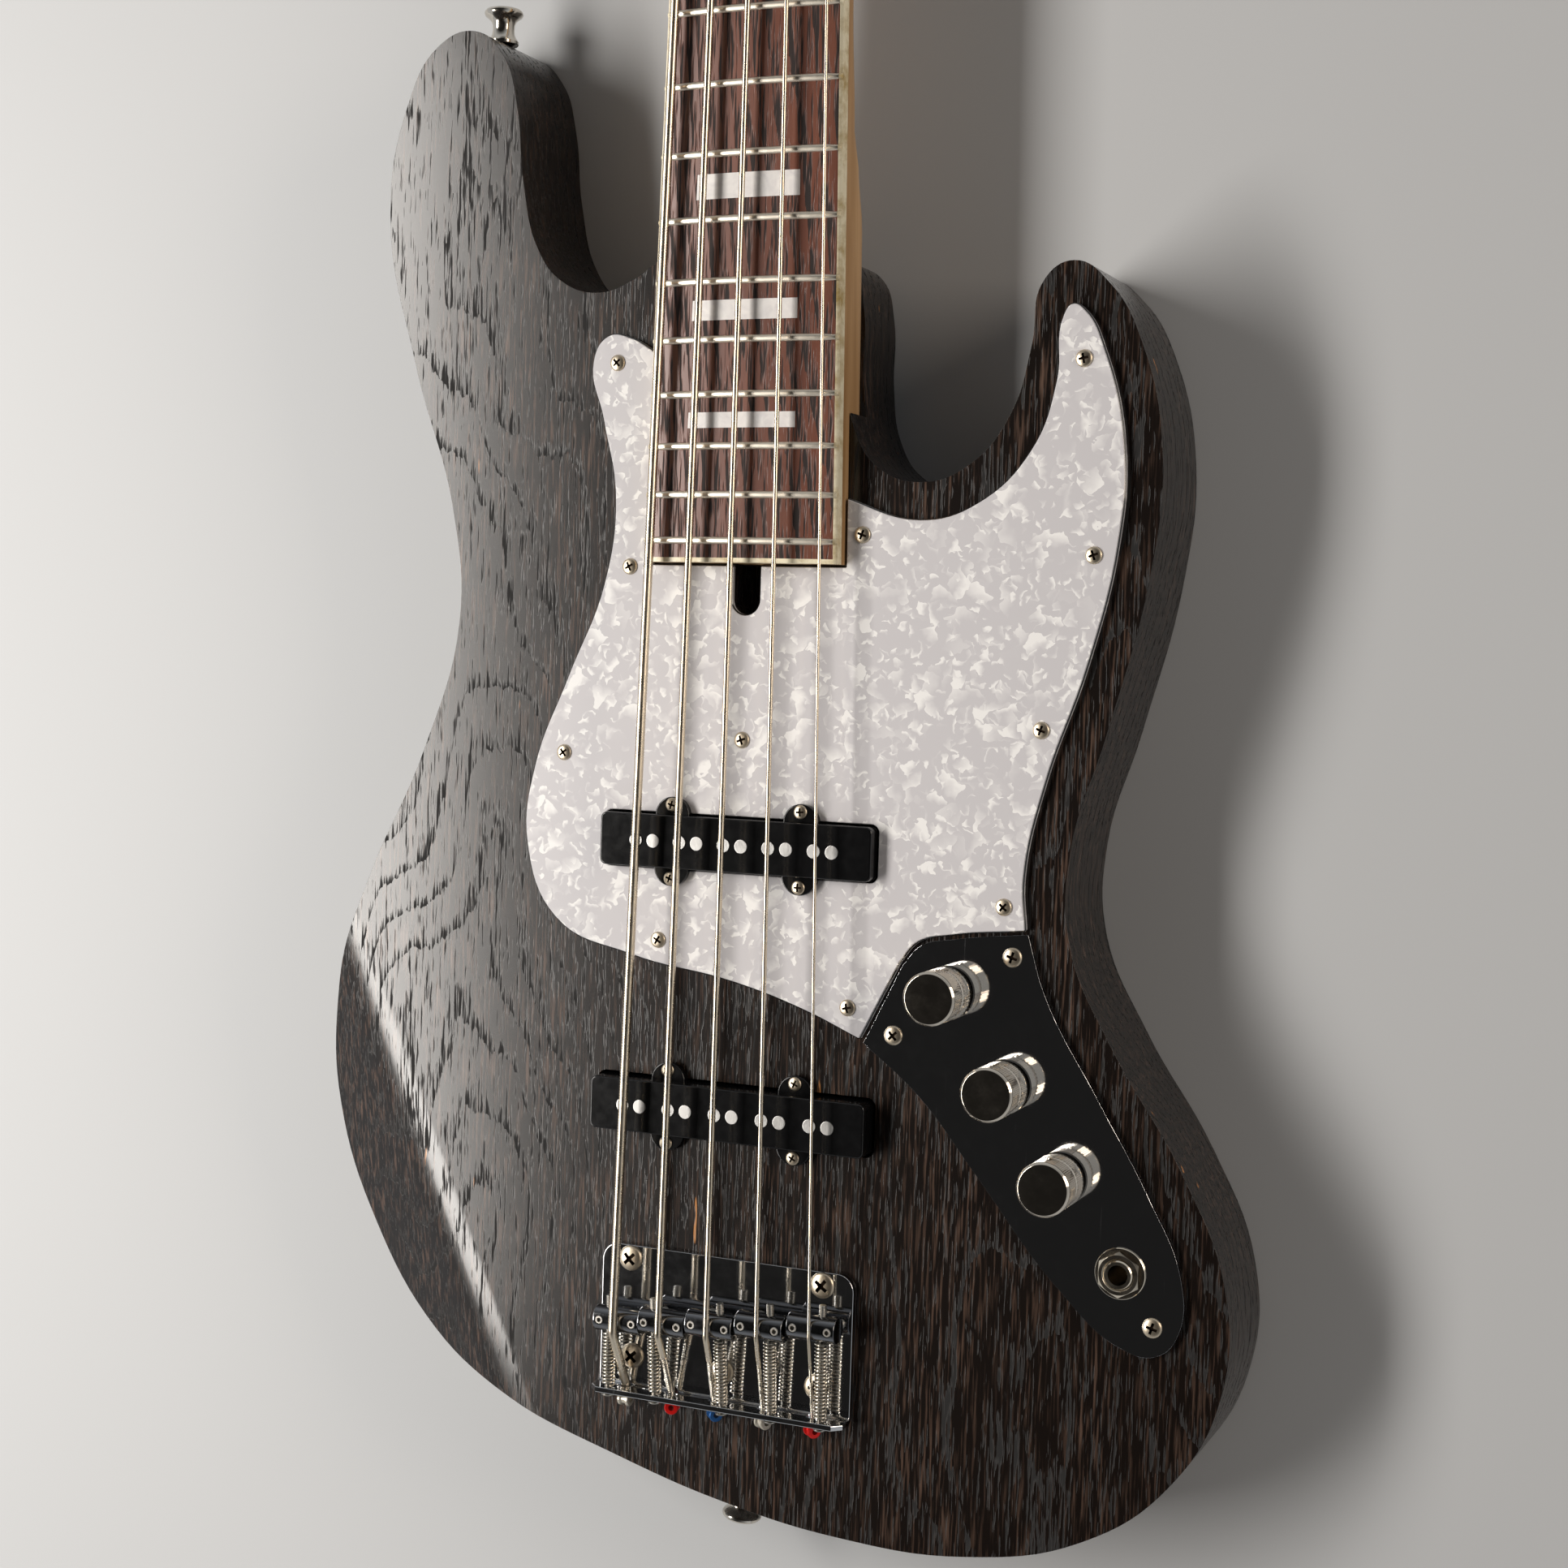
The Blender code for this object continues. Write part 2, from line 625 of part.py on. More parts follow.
def make_pickup(prefix, y, length, above, seat_z):
    """A cover with four ears over a coil former that holds two poles for each string."""
    top = FRONT + above
    low = FRONT - PICKUP_DEPTH
    shell = slab([rounded_box(length / 2, PICKUP_WIDTH / 2, COVER_CORNER, 0.0, y)], low, top)
    ears = []
    for side in (-1, 1):
        reach = EAR_X * side
        loop = rounded_box(EAR_RADIUS, PICKUP_WIDTH / 2 + EAR_RADIUS - 0.2, EAR_RADIUS - 0.05, reach, y, 3)
        ears.append(slab([loop], seat_z, seat_z + EAR_THICKNESS))
    join(shell, *ears)
    inner_corner = COVER_CORNER - COVER_WALL
    inside = rounded_box(length / 2 - COVER_WALL, PICKUP_WIDTH / 2 - COVER_WALL, inner_corner, 0.0, y, 2)
    hollow = slab([inside], low - PAST, top - COVER_WALL)
    poles = [rod((x, py, low), (x, py, top + PAST), POLE_DIAMETER / 2 + GAP, 8) for x, py in pole_spots(y)]
    cut(shell, hollow, bundle(poles))
    finished(shell, prefix + "_pickup_cover", BLACK_PLASTIC)
    inset = COVER_WALL + 3 * GAP
    former = rounded_box(length / 2 - inset, PICKUP_WIDTH / 2 - inset, inner_corner, 0.0, y, 1)
    coil = slab([former], low - COIL_BELOW_COVER, top - COVER_WALL - 2 * GAP)
    magnets = [rod((x, py, low), (x, py, top + GAP), POLE_DIAMETER / 2, 8) for x, py in pole_spots(y)]
    join(coil, bundle(magnets))
    finished(coil, prefix + "_pickup_coil", STEEL)


def make_bridge_plate():
    half = PLATE_WIDTH / 2
    low, high = FRONT + GAP, BRIDGE_FLOOR
    turns = [math.pi / 2 * k / 4 for k in range(5)]
    arc = [(PLATE_CORNER * (1 - math.cos(turn)), PLATE_CORNER * (1 - math.sin(turn))) for turn in turns]
    front = [(-half + dx, PLATE_FRONT_Y - dy) for dx, dy in arc]
    front += [(half - dx, PLATE_FRONT_Y - dy) for dx, dy in reversed(arc)]
    floor = slab([front + [(half, PLATE_REAR_Y), (-half, PLATE_REAR_Y)]], low, high)
    wall_top, chamfer = low + REAR_WALL, REAR_WALL_CHAMFER
    wall = [(-half, low), (half, low), (half, wall_top - chamfer), (half - chamfer, wall_top),
            (chamfer - half, wall_top), (-half, wall_top - chamfer)]
    rear = slab([wall], -BRIDGE_PLATE / 2, BRIDGE_PLATE / 2)
    rear.data.transform(Matrix.Translation((0, (PLATE_REAR_Y + BRIDGE_PLATE / 2) * MM, 0))
                        @ Matrix.Rotation(math.pi / 2, 4, "X"))
    join(floor, rear)
    holes = []
    for index in range(len(STRING_NAMES)):
        seat, middle, along = screw_line(index)
        holes.append(rod(seat - along * PAST, seat + along * (BRIDGE_PLATE + PAST), SCREW_HOLE / 2, 12))
        x, z = string_x(index, 0) + HOLE_OFFSET[index], FRONT + STRING_HOLE_HEIGHT
        near, far = PLATE_REAR_Y - PAST, PLATE_REAR_Y + BRIDGE_PLATE + PAST
        holes.append(rod((x, near, z), (x, far, z), STRING_HOLE / 2, 12))
    cut(floor, bundle(holes))
    finished(floor, "bridge_plate", CHROME)


def screw_line(index):
    """Where an intonation screw passes the rear wall, and where its tip ends past the saddle."""
    saddle = saddle_centre(index)
    x = saddle.x + SCREW_OFFSET[index]
    wall = Vector((x, PLATE_REAR_Y, FRONT + SCREW_WALL_HEIGHT))
    centre = Vector((x, saddle.y, saddle.z))
    along = (centre - wall).normalized()
    return wall, centre, along


def make_saddle(index):
    name = STRING_NAMES[index]
    centre = saddle_centre(index)
    half = SADDLE_LENGTH / 2
    barrel = rod(centre - Vector((half, 0, 0)), centre + Vector((half, 0, 0)), SADDLE_DIAMETER / 2, 16)
    wall, middle, along = screw_line(index)
    head_low = GAP + SCREW_HEAD / 2 * abs(along.z)
    head_top = head_low + SCREW_HEAD / 2
    grubs = [rod((centre.x + side * GRUB_OFFSET, centre.y, BRIDGE_FLOOR + GAP),
                 (centre.x + side * GRUB_OFFSET, centre.y, centre.z + GRUB_ABOVE_AXIS), GRUB_SCREW / 2, 6)
             for side in (-1, 1)]
    screw = rod(wall - along * (head_top - 1), middle + along * SCREW_PAST_SADDLE, INTONATION_SCREW / 2, 8)
    head = rod(wall - along * head_top, wall - along * head_low, SCREW_HEAD / 2, 10)
    join(barrel, screw, head, *grubs)
    notch = STRING_DIAMETERS[index] / 2 + GAP
    groove_z = string_bottom(index, centre.y) + STRING_DIAMETERS[index] / 2
    reach = SADDLE_DIAMETER / 2 + PAST
    cut(barrel, rod((centre.x, centre.y - reach, groove_z), (centre.x, centre.y + reach, groove_z), notch, 10))
    finished(barrel, "saddle_" + name, CHROME)


def make_saddle_spring(index):
    wall, middle, along = screw_line(index)
    inner = wall + along * (BRIDGE_PLATE + GAP + SPRING_WIRE / 2)
    reach = SADDLE_DIAMETER / 2 + GAP + SPRING_WIRE / 2
    length = (middle - inner).dot(along) - reach
    turns = max(4, round(length / SPRING_PITCH))
    side = along.orthogonal().normalized()
    up = along.cross(side)
    radius = (SPRING_DIAMETER - SPRING_WIRE) / 2
    points = []
    steps = 6
    for k in range(steps * turns + 1):
        turn = 2 * math.pi * k / steps
        points.append(inner + along * (length * k / (steps * turns))
                      + side * radius * math.cos(turn) + up * radius * math.sin(turn))
    finished(tube(points, SPRING_WIRE / 2, 0), "saddle_spring_" + STRING_NAMES[index], STEEL)


def neck_ring(y, half, depth, fullness):
    """A section of the neck: flat under the fretboard, and a back as full as a power of the arc."""
    ring = [(-half, y, GLUE_Z), (half, y, GLUE_Z)]
    for k in range(1, 14):
        turn = math.pi * k / 14
        x = half * math.copysign(abs(math.cos(turn)) ** (2 / fullness), math.cos(turn))
        ring.append((x, y, GLUE_Z - depth * math.sin(turn) ** (2 / fullness)))
    return ring


def make_neck():
    wood = BOARD_THICKNESS
    heel = HEEL_THICKNESS - wood
    twelfth = fret_y(12)
    heel_end = BODY_END_Y + 6
    stations = [
        (BOARD_END_Y, heel, 9.0), (heel_end, heel, 9.0), (heel_end + HEEL_BLEND * 0.35, heel * 0.97, 5.5),
        (heel_end + HEEL_BLEND * 0.7, (heel + NECK_AT_TWELFTH - wood) / 2, 3.2),
        (max(twelfth, heel_end + HEEL_BLEND), NECK_AT_TWELFTH - wood, 2.5),
        ((twelfth + SCALE_LENGTH) / 2, (NECK_AT_TWELFTH + NECK_AT_NUT) / 2 - wood, 2.3),
        (SCALE_LENGTH - 30, NECK_AT_NUT - wood, 2.3),
        (HEAD_START_Y + 2, NECK_AT_NUT - wood, 2.4),
        (HEAD_START_Y + 16, GLUE_Z - HEAD_BACK_Z - 1.0, 4.0),
    ]
    rings = [neck_ring(y, board_half(y), depth, fullness) for y, depth, fullness in stations]
    neck = loft(rings)
    head = slab([head_outline(HEAD_START_Y)], HEAD_BACK_Z, HEAD_TOP_Z, HEAD_CHAMFER, 3, 0)
    ramp = block((-HEAD_HALF, HEAD_START_Y, HEAD_TOP_Z),
                 (HEAD_HALF, HEAD_START_Y + HEAD_HALF, FRONT + BOARD_TOP + PAST))
    cut(neck, ramp)
    join(neck, head)
    half = ROD_DIAMETER / 2 + GAP
    channel = block((-half, BOARD_END_Y - PAST, rod_z() - half), (half, rod_end() + GAP, GLUE_Z + PAST))
    nut_end = BOARD_END_Y + ROD_NUT_INSET + ROD_NUT_LENGTH + GAP
    nut_room = rod((0, BOARD_END_Y - PAST, rod_z()), (0, nut_end, rod_z()), ROD_NUT_DIAMETER / 2 + GAP)
    posts = [rod((POST_X[n], POST_Y[n], HEAD_BACK_Z - PAST), (POST_X[n], POST_Y[n], HEAD_TOP_Z + PAST),
                 POST_RADIUS + GAP, 14) for n in STRING_NAMES]
    bolts = [rod((x, y, POCKET_Z - PAST), (x, y, POCKET_Z + BOLT_IN_NECK + 2), BOLT_SHANK / 2 + GAP, 12)
             for x, y in bolt_spots()]
    cut(neck, channel, nut_room, bundle(posts), bundle(bolts))
    finished(neck, "neck", MAPLE)


def head_outline(start):
    """Half of the headstock's outline on the treble side, mirrored to the bass side."""
    nut_half = board_half(SCALE_LENGTH)
    half = [(nut_half - 1.5, start - 1.0, 1), (nut_half + 3.0, start + 10.0), (HEAD_HALF - 3.0, start + 28.0),
            (HEAD_HALF, start + 44.0), (HEAD_HALF - 2.5, start + 88.0), (HEAD_HALF - 6.0, start + 132.0),
            (HEAD_HALF - 13.0, start + 158.0), (HEAD_TIP_HALF - 6.0, start + HEAD_LENGTH - 5.0)]
    tip = [(0.0, start + HEAD_LENGTH)]
    mirrored = [(-point[0],) + tuple(point[1:]) for point in reversed(half)]
    return half + tip + mirrored


def rod_z():
    return GLUE_Z - ROD_DIAMETER / 2 - GAP - ROD_UNDER_BOARD


def rod_end():
    return SCALE_LENGTH - ROD_SHORT_OF_NUT


def make_truss_rod():
    """The rod, with its socketed nut just behind the neck's end, where the access slot reaches it."""
    rod_radius, nut_radius, socket = ROD_DIAMETER / 2, ROD_NUT_DIAMETER / 2, ROD_SOCKET / 2
    nut_low = BOARD_END_Y + ROD_NUT_INSET
    nut_high = nut_low + ROD_NUT_LENGTH
    socket_end = nut_low + ROD_SOCKET_DEPTH
    profile = [(0, rod_end()), (rod_radius, rod_end()), (rod_radius, nut_high), (nut_radius, nut_high),
               (nut_radius, nut_low), (socket, nut_low), (socket, socket_end), (0, socket_end)]
    finished(turned(profile, 12, (0, 0, rod_z()), (0, 1, 0)), "truss_rod", STEEL)


def camber_block(lift):
    """A long solid whose top follows the fretboard's camber, raised by a lift."""
    top = FRONT + BOARD_TOP + lift
    low = GLUE_Z - PAST
    half = BOARD_HALF_AT_END + PAST
    arc = [-half + 2 * half * k / CAMBER_FACETS for k in range(CAMBER_FACETS + 1)]
    loop = [(x, top - camber_drop(x)) for x in arc] + [(half, low), (-half, low)]
    solid = slab([loop], -SCALE_LENGTH - PAST, -BOARD_END_Y + PAST)
    solid.data.transform(Matrix.Rotation(math.pi / 2, 4, "X"))
    return solid


def board_loop(inset, start_y, end_y):
    near, far = board_half(start_y) - inset, board_half(end_y) - inset
    return [(-near, start_y), (near, start_y), (far, end_y), (-far, end_y)]


def make_fretboard():
    start = BOARD_END_Y + BINDING + GAP
    above = FRONT + BOARD_TOP + PAST
    board = slab([board_loop(BINDING + GAP, start, SCALE_LENGTH)], GLUE_Z + GAP, above)
    combine(board, camber_block(0.0), "INTERSECT")
    frets = bundle([fret_bar(number) for number in range(1, FRET_COUNT + 1)])
    join(board, frets)
    finished(board, "fretboard", ROSEWOOD)


def fret_bar(number):
    y = fret_y(number)
    half = board_half(y) - BINDING - GAP - 0.2
    rings = []
    for k in range(CAMBER_FACETS + 1):
        x = -half + 2 * half * k / CAMBER_FACETS
        z = FRONT + BOARD_TOP - camber_drop(x)
        width = FRET_WIDTH / 2
        rings.append([(x, y - width, z - 0.8), (x, y + width, z - 0.8),
                      (x, y + width * 0.5, z + FRET_HEIGHT), (x, y - width * 0.5, z + FRET_HEIGHT)])
    return loft(rings)


def make_binding():
    outer = board_loop(0.0, BOARD_END_Y, SCALE_LENGTH)
    inner = board_loop(BINDING, BOARD_END_Y + BINDING, SCALE_LENGTH)
    loop = [outer[3], outer[0], outer[1], outer[2], inner[2], inner[1], inner[0], inner[3]]
    strip = slab([loop], GLUE_Z + GAP, FRONT + BOARD_TOP + PAST)
    combine(strip, camber_block(0.0), "INTERSECT")
    finished(strip, "fretboard_binding", CREAM)


def make_nut():
    half = board_half(SCALE_LENGTH)
    low, top = GLUE_Z + GAP, FRONT + BOARD_TOP + NUT_ABOVE_BOARD
    nut = block((-half, SCALE_LENGTH + GAP, low), (half, SCALE_LENGTH + NUT_LENGTH, top))
    slots = []
    for index in range(len(STRING_NAMES)):
        x = string_x(index, SCALE_LENGTH)
        radius = STRING_DIAMETERS[index] / 2 + GAP
        z = string_bottom(index, SCALE_LENGTH) + STRING_DIAMETERS[index] / 2
        near, far = SCALE_LENGTH - PAST, HEAD_START_Y + PAST
        channel = rod((x, near, z), (x, far, z), radius, 12)
        opening = block((x - radius, near, z), (x + radius, far, z + PAST))
        slots += [channel, opening]
    for slot in slots:
        cut(nut, slot)
    finished(nut, "nut", BONE)


def post_side(name):
    return 1 if POST_X[name] > 0 else -1


def make_string(index):
    """A string from its ball behind the bridge to its turns round the tuning post."""
    name = STRING_NAMES[index]
    radius = STRING_DIAMETERS[index] / 2
    saddle = saddle_centre(index)
    rear_x = string_x(index, 0) + HOLE_OFFSET[index]
    rear_z = FRONT + STRING_HOLE_HEIGHT
    over_z = string_bottom(index, saddle.y) + radius
    ball = Vector((rear_x, PLATE_REAR_Y - GAP - BALL_DIAMETER / 2, rear_z))
    ball_end = Vector((BALL_WIDTH / 2, 0, 0))
    points = [ball, Vector((rear_x, PLATE_REAR_Y + BRIDGE_PLATE + 1.0, rear_z + 0.2))]
    clear = SADDLE_DIAMETER / 2 + GAP + radius
    back = math.sqrt(clear ** 2 - (over_z - saddle.z) ** 2) + 0.1
    points.append(Vector((saddle.x, saddle.y - back, over_z)))
    nut_x, nut_z = string_x(index, SCALE_LENGTH), string_bottom(index, SCALE_LENGTH) + radius
    points += [Vector((nut_x, SCALE_LENGTH, nut_z)), Vector((nut_x, HEAD_START_Y, nut_z))]
    points += wrap_points(name, radius, points[-1])
    string = tube(points, radius, 1)
    join(string, rod(ball - ball_end, ball + ball_end, BALL_DIAMETER / 2, 10))
    finished(string, "string_" + name, NICKEL)


def wrap_points(name, radius, nut):
    """The turns that climb the post's waist, from where the string comes down to it from the nut."""
    post = Vector((POST_X[name], POST_Y[name]))
    side = post_side(name)
    steps = 9
    path = (POST_WAIST + GAP + radius) / math.cos(math.pi / steps)
    to_post = post - Vector((nut.x, nut.y))
    bearing = math.atan2(to_post.y, to_post.x)
    lean = math.asin(path / to_post.length)
    start = bearing + side * (math.pi / 2 - lean)
    pitch = 2 * radius + WRAP_SPACING
    lowest = HEAD_TOP_Z + WRAP_ABOVE_HEAD + radius
    points = []
    for k in range(steps * WRAP_TURNS + 1):
        turn = start - side * 2 * math.pi * k / steps
        z = lowest + pitch * max(0.0, k - 1) / steps
        points.append(Vector((post.x + path * math.cos(turn), post.y + path * math.sin(turn), z)))
    return points


def gear_outline(turn):
    """Tooth by tooth round the worm wheel: root, flank, tip, flank."""
    pitch_radius = GEAR_TEETH * GEAR_MODULE / 2
    root, tip = pitch_radius - 1.15 * GEAR_MODULE, pitch_radius + 0.75 * GEAR_MODULE
    step = 2 * math.pi / GEAR_TEETH
    points = []
    for tooth in range(GEAR_TEETH):
        middle = turn + tooth * step
        for share, radius in ((-0.26, root), (-0.13, tip), (0.13, tip), (0.26, root)):
            angle = middle + share * step
            points.append((radius * math.cos(angle), radius * math.sin(angle)))
    return points


def gear_z():
    return HEAD_BACK_Z - GAP - PLATE_THICKNESS - GAP - WORM_RADIUS


def worm_y(name):
    """The worm lies beyond the wheel, on the side towards the headstock's tip."""
    return POST_Y[name] + GEAR_TEETH * GEAR_MODULE / 2 + WORM_RADIUS - WORM_DEPTH


def make_tuner_post(name):
    x, y = POST_X[name], POST_Y[name]
    low, high = gear_z() - GEAR_WIDTH / 2, gear_z() + GEAR_WIDTH / 2
    lead = GEAR_MODULE / 2 / (WORM_RADIUS - WORM_THREAD)
    twist = lead * GEAR_WIDTH / (GEAR_TEETH * GEAR_MODULE / 2)
    phase = math.pi / 2 + math.pi / GEAR_TEETH
    rings = []
    for k in range(2):
        z = low + (high - low) * k
        turn = phase + twist * (k - 0.5)
        rings.append([(x + px, y + py, z) for px, py in gear_outline(turn)])
    wheel = loft(rings)
    top = HEAD_TOP_Z + POST_HEIGHT
    waist_top, waist_low = HEAD_TOP_Z + WAIST_TOP, HEAD_TOP_Z + WAIST_LOW
    profile = [(0, top), (POST_RADIUS, top), (POST_RADIUS, waist_top), (POST_WAIST, waist_top - 1.0),
               (POST_WAIST, waist_low + 1.0), (POST_RADIUS, waist_low), (POST_RADIUS, high - 1.0),
               (0, high - 1.0)]
    join(wheel, turned(profile, 12, (x, y, 0)))
    reach = POST_RADIUS + PAST
    slot = block((x - POST_SLOT / 2, y - reach, top - POST_SLOT_DEPTH),
                 (x + POST_SLOT / 2, y + reach, top + PAST))
    cut(wheel, slot)
    finished(wheel, "tuner_post_" + name, NICKEL)


def make_tuner_key(name):
    """The worm on its shaft, with the key's paddle past the edge of the headstock."""
    side = post_side(name)
    x, y, z = POST_X[name], worm_y(name), gear_z()
    pitch = math.pi * GEAR_MODULE
    half = pitch * WORM_TURNS / 2
    shaft_end = HEAD_HALF + KEY_REACH
    body = rod((x - half, y, z), (x + half, y, z), WORM_CORE, 8)
    path = WORM_RADIUS - WORM_THREAD
    points = []
    steps = 6
    for k in range(steps * WORM_TURNS + 1):
        turn = 2 * math.pi * k / steps
        along = -half + pitch * k / steps
        points.append((x + along, y + path * math.cos(turn), z + path * math.sin(turn)))
    thread = tube(points, WORM_THREAD, 0)
    inner_end = half + LUG_GAP + LUG_THICKNESS + GAP
    shaft = rod((x - side * inner_end, y, z), (side * shaft_end, y, z), KEY_SHAFT, 8)
    paddle_at = Vector((side * (shaft_end + KEY_PADDLE * 0.75), y, z)) * MM
    paddle = slab([key_loop()], -KEY_THICKNESS / 2, KEY_THICKNESS / 2)
    paddle.data.transform(Matrix.Translation(paddle_at) @ Matrix.Diagonal((side, 1, 1, 1)))
    if side < 0:
        paddle.data.flip_normals()
    join(body, thread, shaft, paddle)
    finished(body, "tuner_key_" + name, NICKEL)


def key_loop():
    """A clover-leaf key seen face on, its stem towards -X."""
    r = KEY_PADDLE
    return [(-0.95 * r, -0.26 * r), (-0.55 * r, -0.42 * r), (-0.30 * r, -0.95 * r), (0.25 * r, -1.0 * r),
            (0.42 * r, -0.50 * r), (0.80 * r, -0.42 * r), (0.95 * r, 0.0), (0.80 * r, 0.42 * r),
            (0.42 * r, 0.50 * r), (0.25 * r, 1.0 * r), (-0.30 * r, 0.95 * r), (-0.55 * r, 0.42 * r),
            (-0.95 * r, 0.26 * r)]


def make_tuner_plate(name):
    """The plate on the headstock's back, with two lugs that carry the worm's shaft."""
    side = post_side(name)
    x, y = POST_X[name], POST_Y[name]
    high = HEAD_BACK_Z - GAP
    low = high - PLATE_THICKNESS
    wy = worm_y(name)
    half = math.pi * GEAR_MODULE * WORM_TURNS / 2
    near, far = y - PLATE_BEFORE_POST, wy + PLATE_PAST_WORM
    plate = slab([rounded_box(PLATE_HALF, (far - near) / 2, 4.0, x, (near + far) / 2, 2)], low, high)
    lugs = []
    for direction in (-1, 1):
        inner = x + direction * (half + LUG_GAP)
        outer = inner + direction * LUG_THICKNESS
        lugs.append(block((min(inner, outer), wy - LUG_WIDTH / 2, gear_z() - LUG_WIDTH / 2),
                          (max(inner, outer), wy + LUG_WIDTH / 2, low + 0.5)))
    join(plate, *lugs)
    post_hole = rod((x, y, low - PAST), (x, y, high + PAST), POST_RADIUS + GAP, 14)
    reach = PLATE_HALF + PAST
    shaft_hole = rod((x - side * reach, wy, gear_z()), (x + side * reach, wy, gear_z()), KEY_SHAFT + GAP, 10)
    cut(plate, post_hole, shaft_hole)
    finished(plate, "tuner_plate_" + name, NICKEL)


def make_knob(number, x, y):
    low = PANEL_TOP_Z + KNOB_GAP
    top = low + KNOB_HEIGHT
    radius = KNOB_DIAMETER / 2
    bore = POT_SHAFT / 2 + GAP
    recess, recess_top, bore_top = KNOB_RECESS / 2, low + KNOB_RECESS_DEPTH, top - KNOB_CAP
    profile = [(0, top), (radius - KNOB_EDGE, top), (radius, top - KNOB_EDGE), (radius, low), (recess, low),
               (recess, recess_top), (bore, recess_top), (bore, bore_top), (0, bore_top)]
    finished(turned(profile, 20, (x, y, 0)), f"knob_{number}", NICKEL)
    shaft = rod((x, y, bush_top() + GAP), (x, y, bore_top - GAP), POT_SHAFT / 2, 12)
    finished(shaft, f"pot_shaft_{number}", BRASS)


def bush_top():
    """Top of a potentiometer's threaded bush, just above the nut that clamps it to the plate."""
    return PANEL_TOP_Z + GAP + POT_NUT_HEIGHT + POT_BUSH_ABOVE_NUT


def make_potentiometer(number, x, y):
    bush, nut, can = POT_BUSH / 2, POT_NUT / 2, POT_DIAMETER / 2
    can_top, nut_low = FRONT - POT_BELOW_FACE, PANEL_TOP_Z + GAP
    nut_top = nut_low + POT_NUT_HEIGHT
    can_low = can_top - POT_BODY
    profile = [(0, bush_top()), (bush, bush_top()), (bush, nut_top), (nut, nut_top), (nut, nut_low),
               (bush, nut_low), (bush, can_top), (can, can_top), (can, can_low), (0, can_low)]
    finished(turned(profile, 12, (x, y, 0)), f"potentiometer_{number}", STEEL)


def make_output_jack():
    """A closed barrel with a threaded bush through the plate, held by a hexagon nut on a washer."""
    x, y = JACK_CENTRE
    bush, barrel = JACK_BUSH / 2, JACK_BODY / 2
    top, shoulder = PANEL_TOP_Z + JACK_BUSH_ABOVE, FRONT - GAP
    end = shoulder - JACK_LENGTH
    profile = [(0, top), (bush, top), (bush, shoulder), (barrel, shoulder), (barrel, end), (0, end)]
    jack = turned(profile, 24, (x, y, 0))
    cut(jack, rod((x, y, end + JACK_END_WALL), (x, y, top + PAST), JACK_BORE / 2, 20))
    finished(jack, "output_jack", NICKEL)
    low = PANEL_TOP_Z + GAP
    nut = rod((x, y, low), (x, y, low + JACK_NUT_HEIGHT), JACK_NUT / 2, 6)
    join(nut, rod((x, y, low), (x, y, low + JACK_WASHER_THICKNESS), JACK_WASHER / 2, 24))
    cut(nut, rod((x, y, low - PAST), (x, y, low + PAST), bush + GAP, 24))
    finished(nut, "jack_nut", NICKEL)


def make_strap_button(name, base_spot, outward):
    """A strap button standing square on the body's side."""
    height = BUTTON_HEIGHT
    base, flange, waist = BUTTON_BASE / 2, BUTTON_FLANGE / 2, BUTTON_WAIST / 2
    profile = [(0, height), (flange - 1.2, height), (flange, height - 1.2), (flange, height - 2.2),
               (flange - 1.4, height - 3.2), (waist, height - 5.2), (waist, 3.6), (base, 1.2), (base, 0),
               (0, 0)]
    outward = Vector((*outward, 0.0)).normalized()
    spot = Vector((*base_spot, BODY_THICKNESS / 2)) + outward * GAP
    finished(turned(profile, 14, spot, outward), name, CHROME)


def make_neck_bolt(number, x, y):
    """A wood screw up into the heel, with the ferrule that its head sits in let into the body's back."""
    head, shank = BOLT_HEAD / 2, BOLT_SHANK / 2
    tip = POCKET_Z + BOLT_IN_NECK
    profile = [(0, tip), (shank, tip - 1), (shank, BOLT_FERRULE), (head, BOLT_FERRULE),
               (head, BOLT_RECESS), (0, BOLT_RECESS)]
    finished(turned(profile, 12, (x, y, 0)), f"neck_bolt_{number}", NICKEL)


def main():
    make_body()
    make_pickguard()
    make_control_plate()
    make_pickup("neck", NECK_PICKUP_Y, NECK_PICKUP_LENGTH, NECK_PICKUP_ABOVE, GUARD_TOP_Z + GAP)
    make_pickup("bridge", BRIDGE_PICKUP_Y, BRIDGE_PICKUP_LENGTH, BRIDGE_PICKUP_ABOVE, FRONT + GAP)
    make_bridge_plate()
    make_neck()
    make_truss_rod()
    make_fretboard()
    make_binding()
    make_nut()
    for index, name in enumerate(STRING_NAMES):
        make_saddle(index)
        make_saddle_spring(index)
        make_string(index)
        make_tuner_plate(name)
        make_tuner_post(name)
        make_tuner_key(name)
    for number, (x, y) in enumerate(KNOB_CENTRES, 1):
        make_knob(number, x, y)
        make_potentiometer(number, x, y)
    make_output_jack()
    make_strap_button("strap_button_horn", HORN_BUTTON, (0.0, 1.0))
    make_strap_button("strap_button_tail", TAIL_BUTTON, (-0.135, -1.0))
    for number, (x, y) in enumerate(bolt_spots(), 1):
        make_neck_bolt(number, x, y)


main()
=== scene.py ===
import math

import bpy
from mathutils import Matrix, Vector


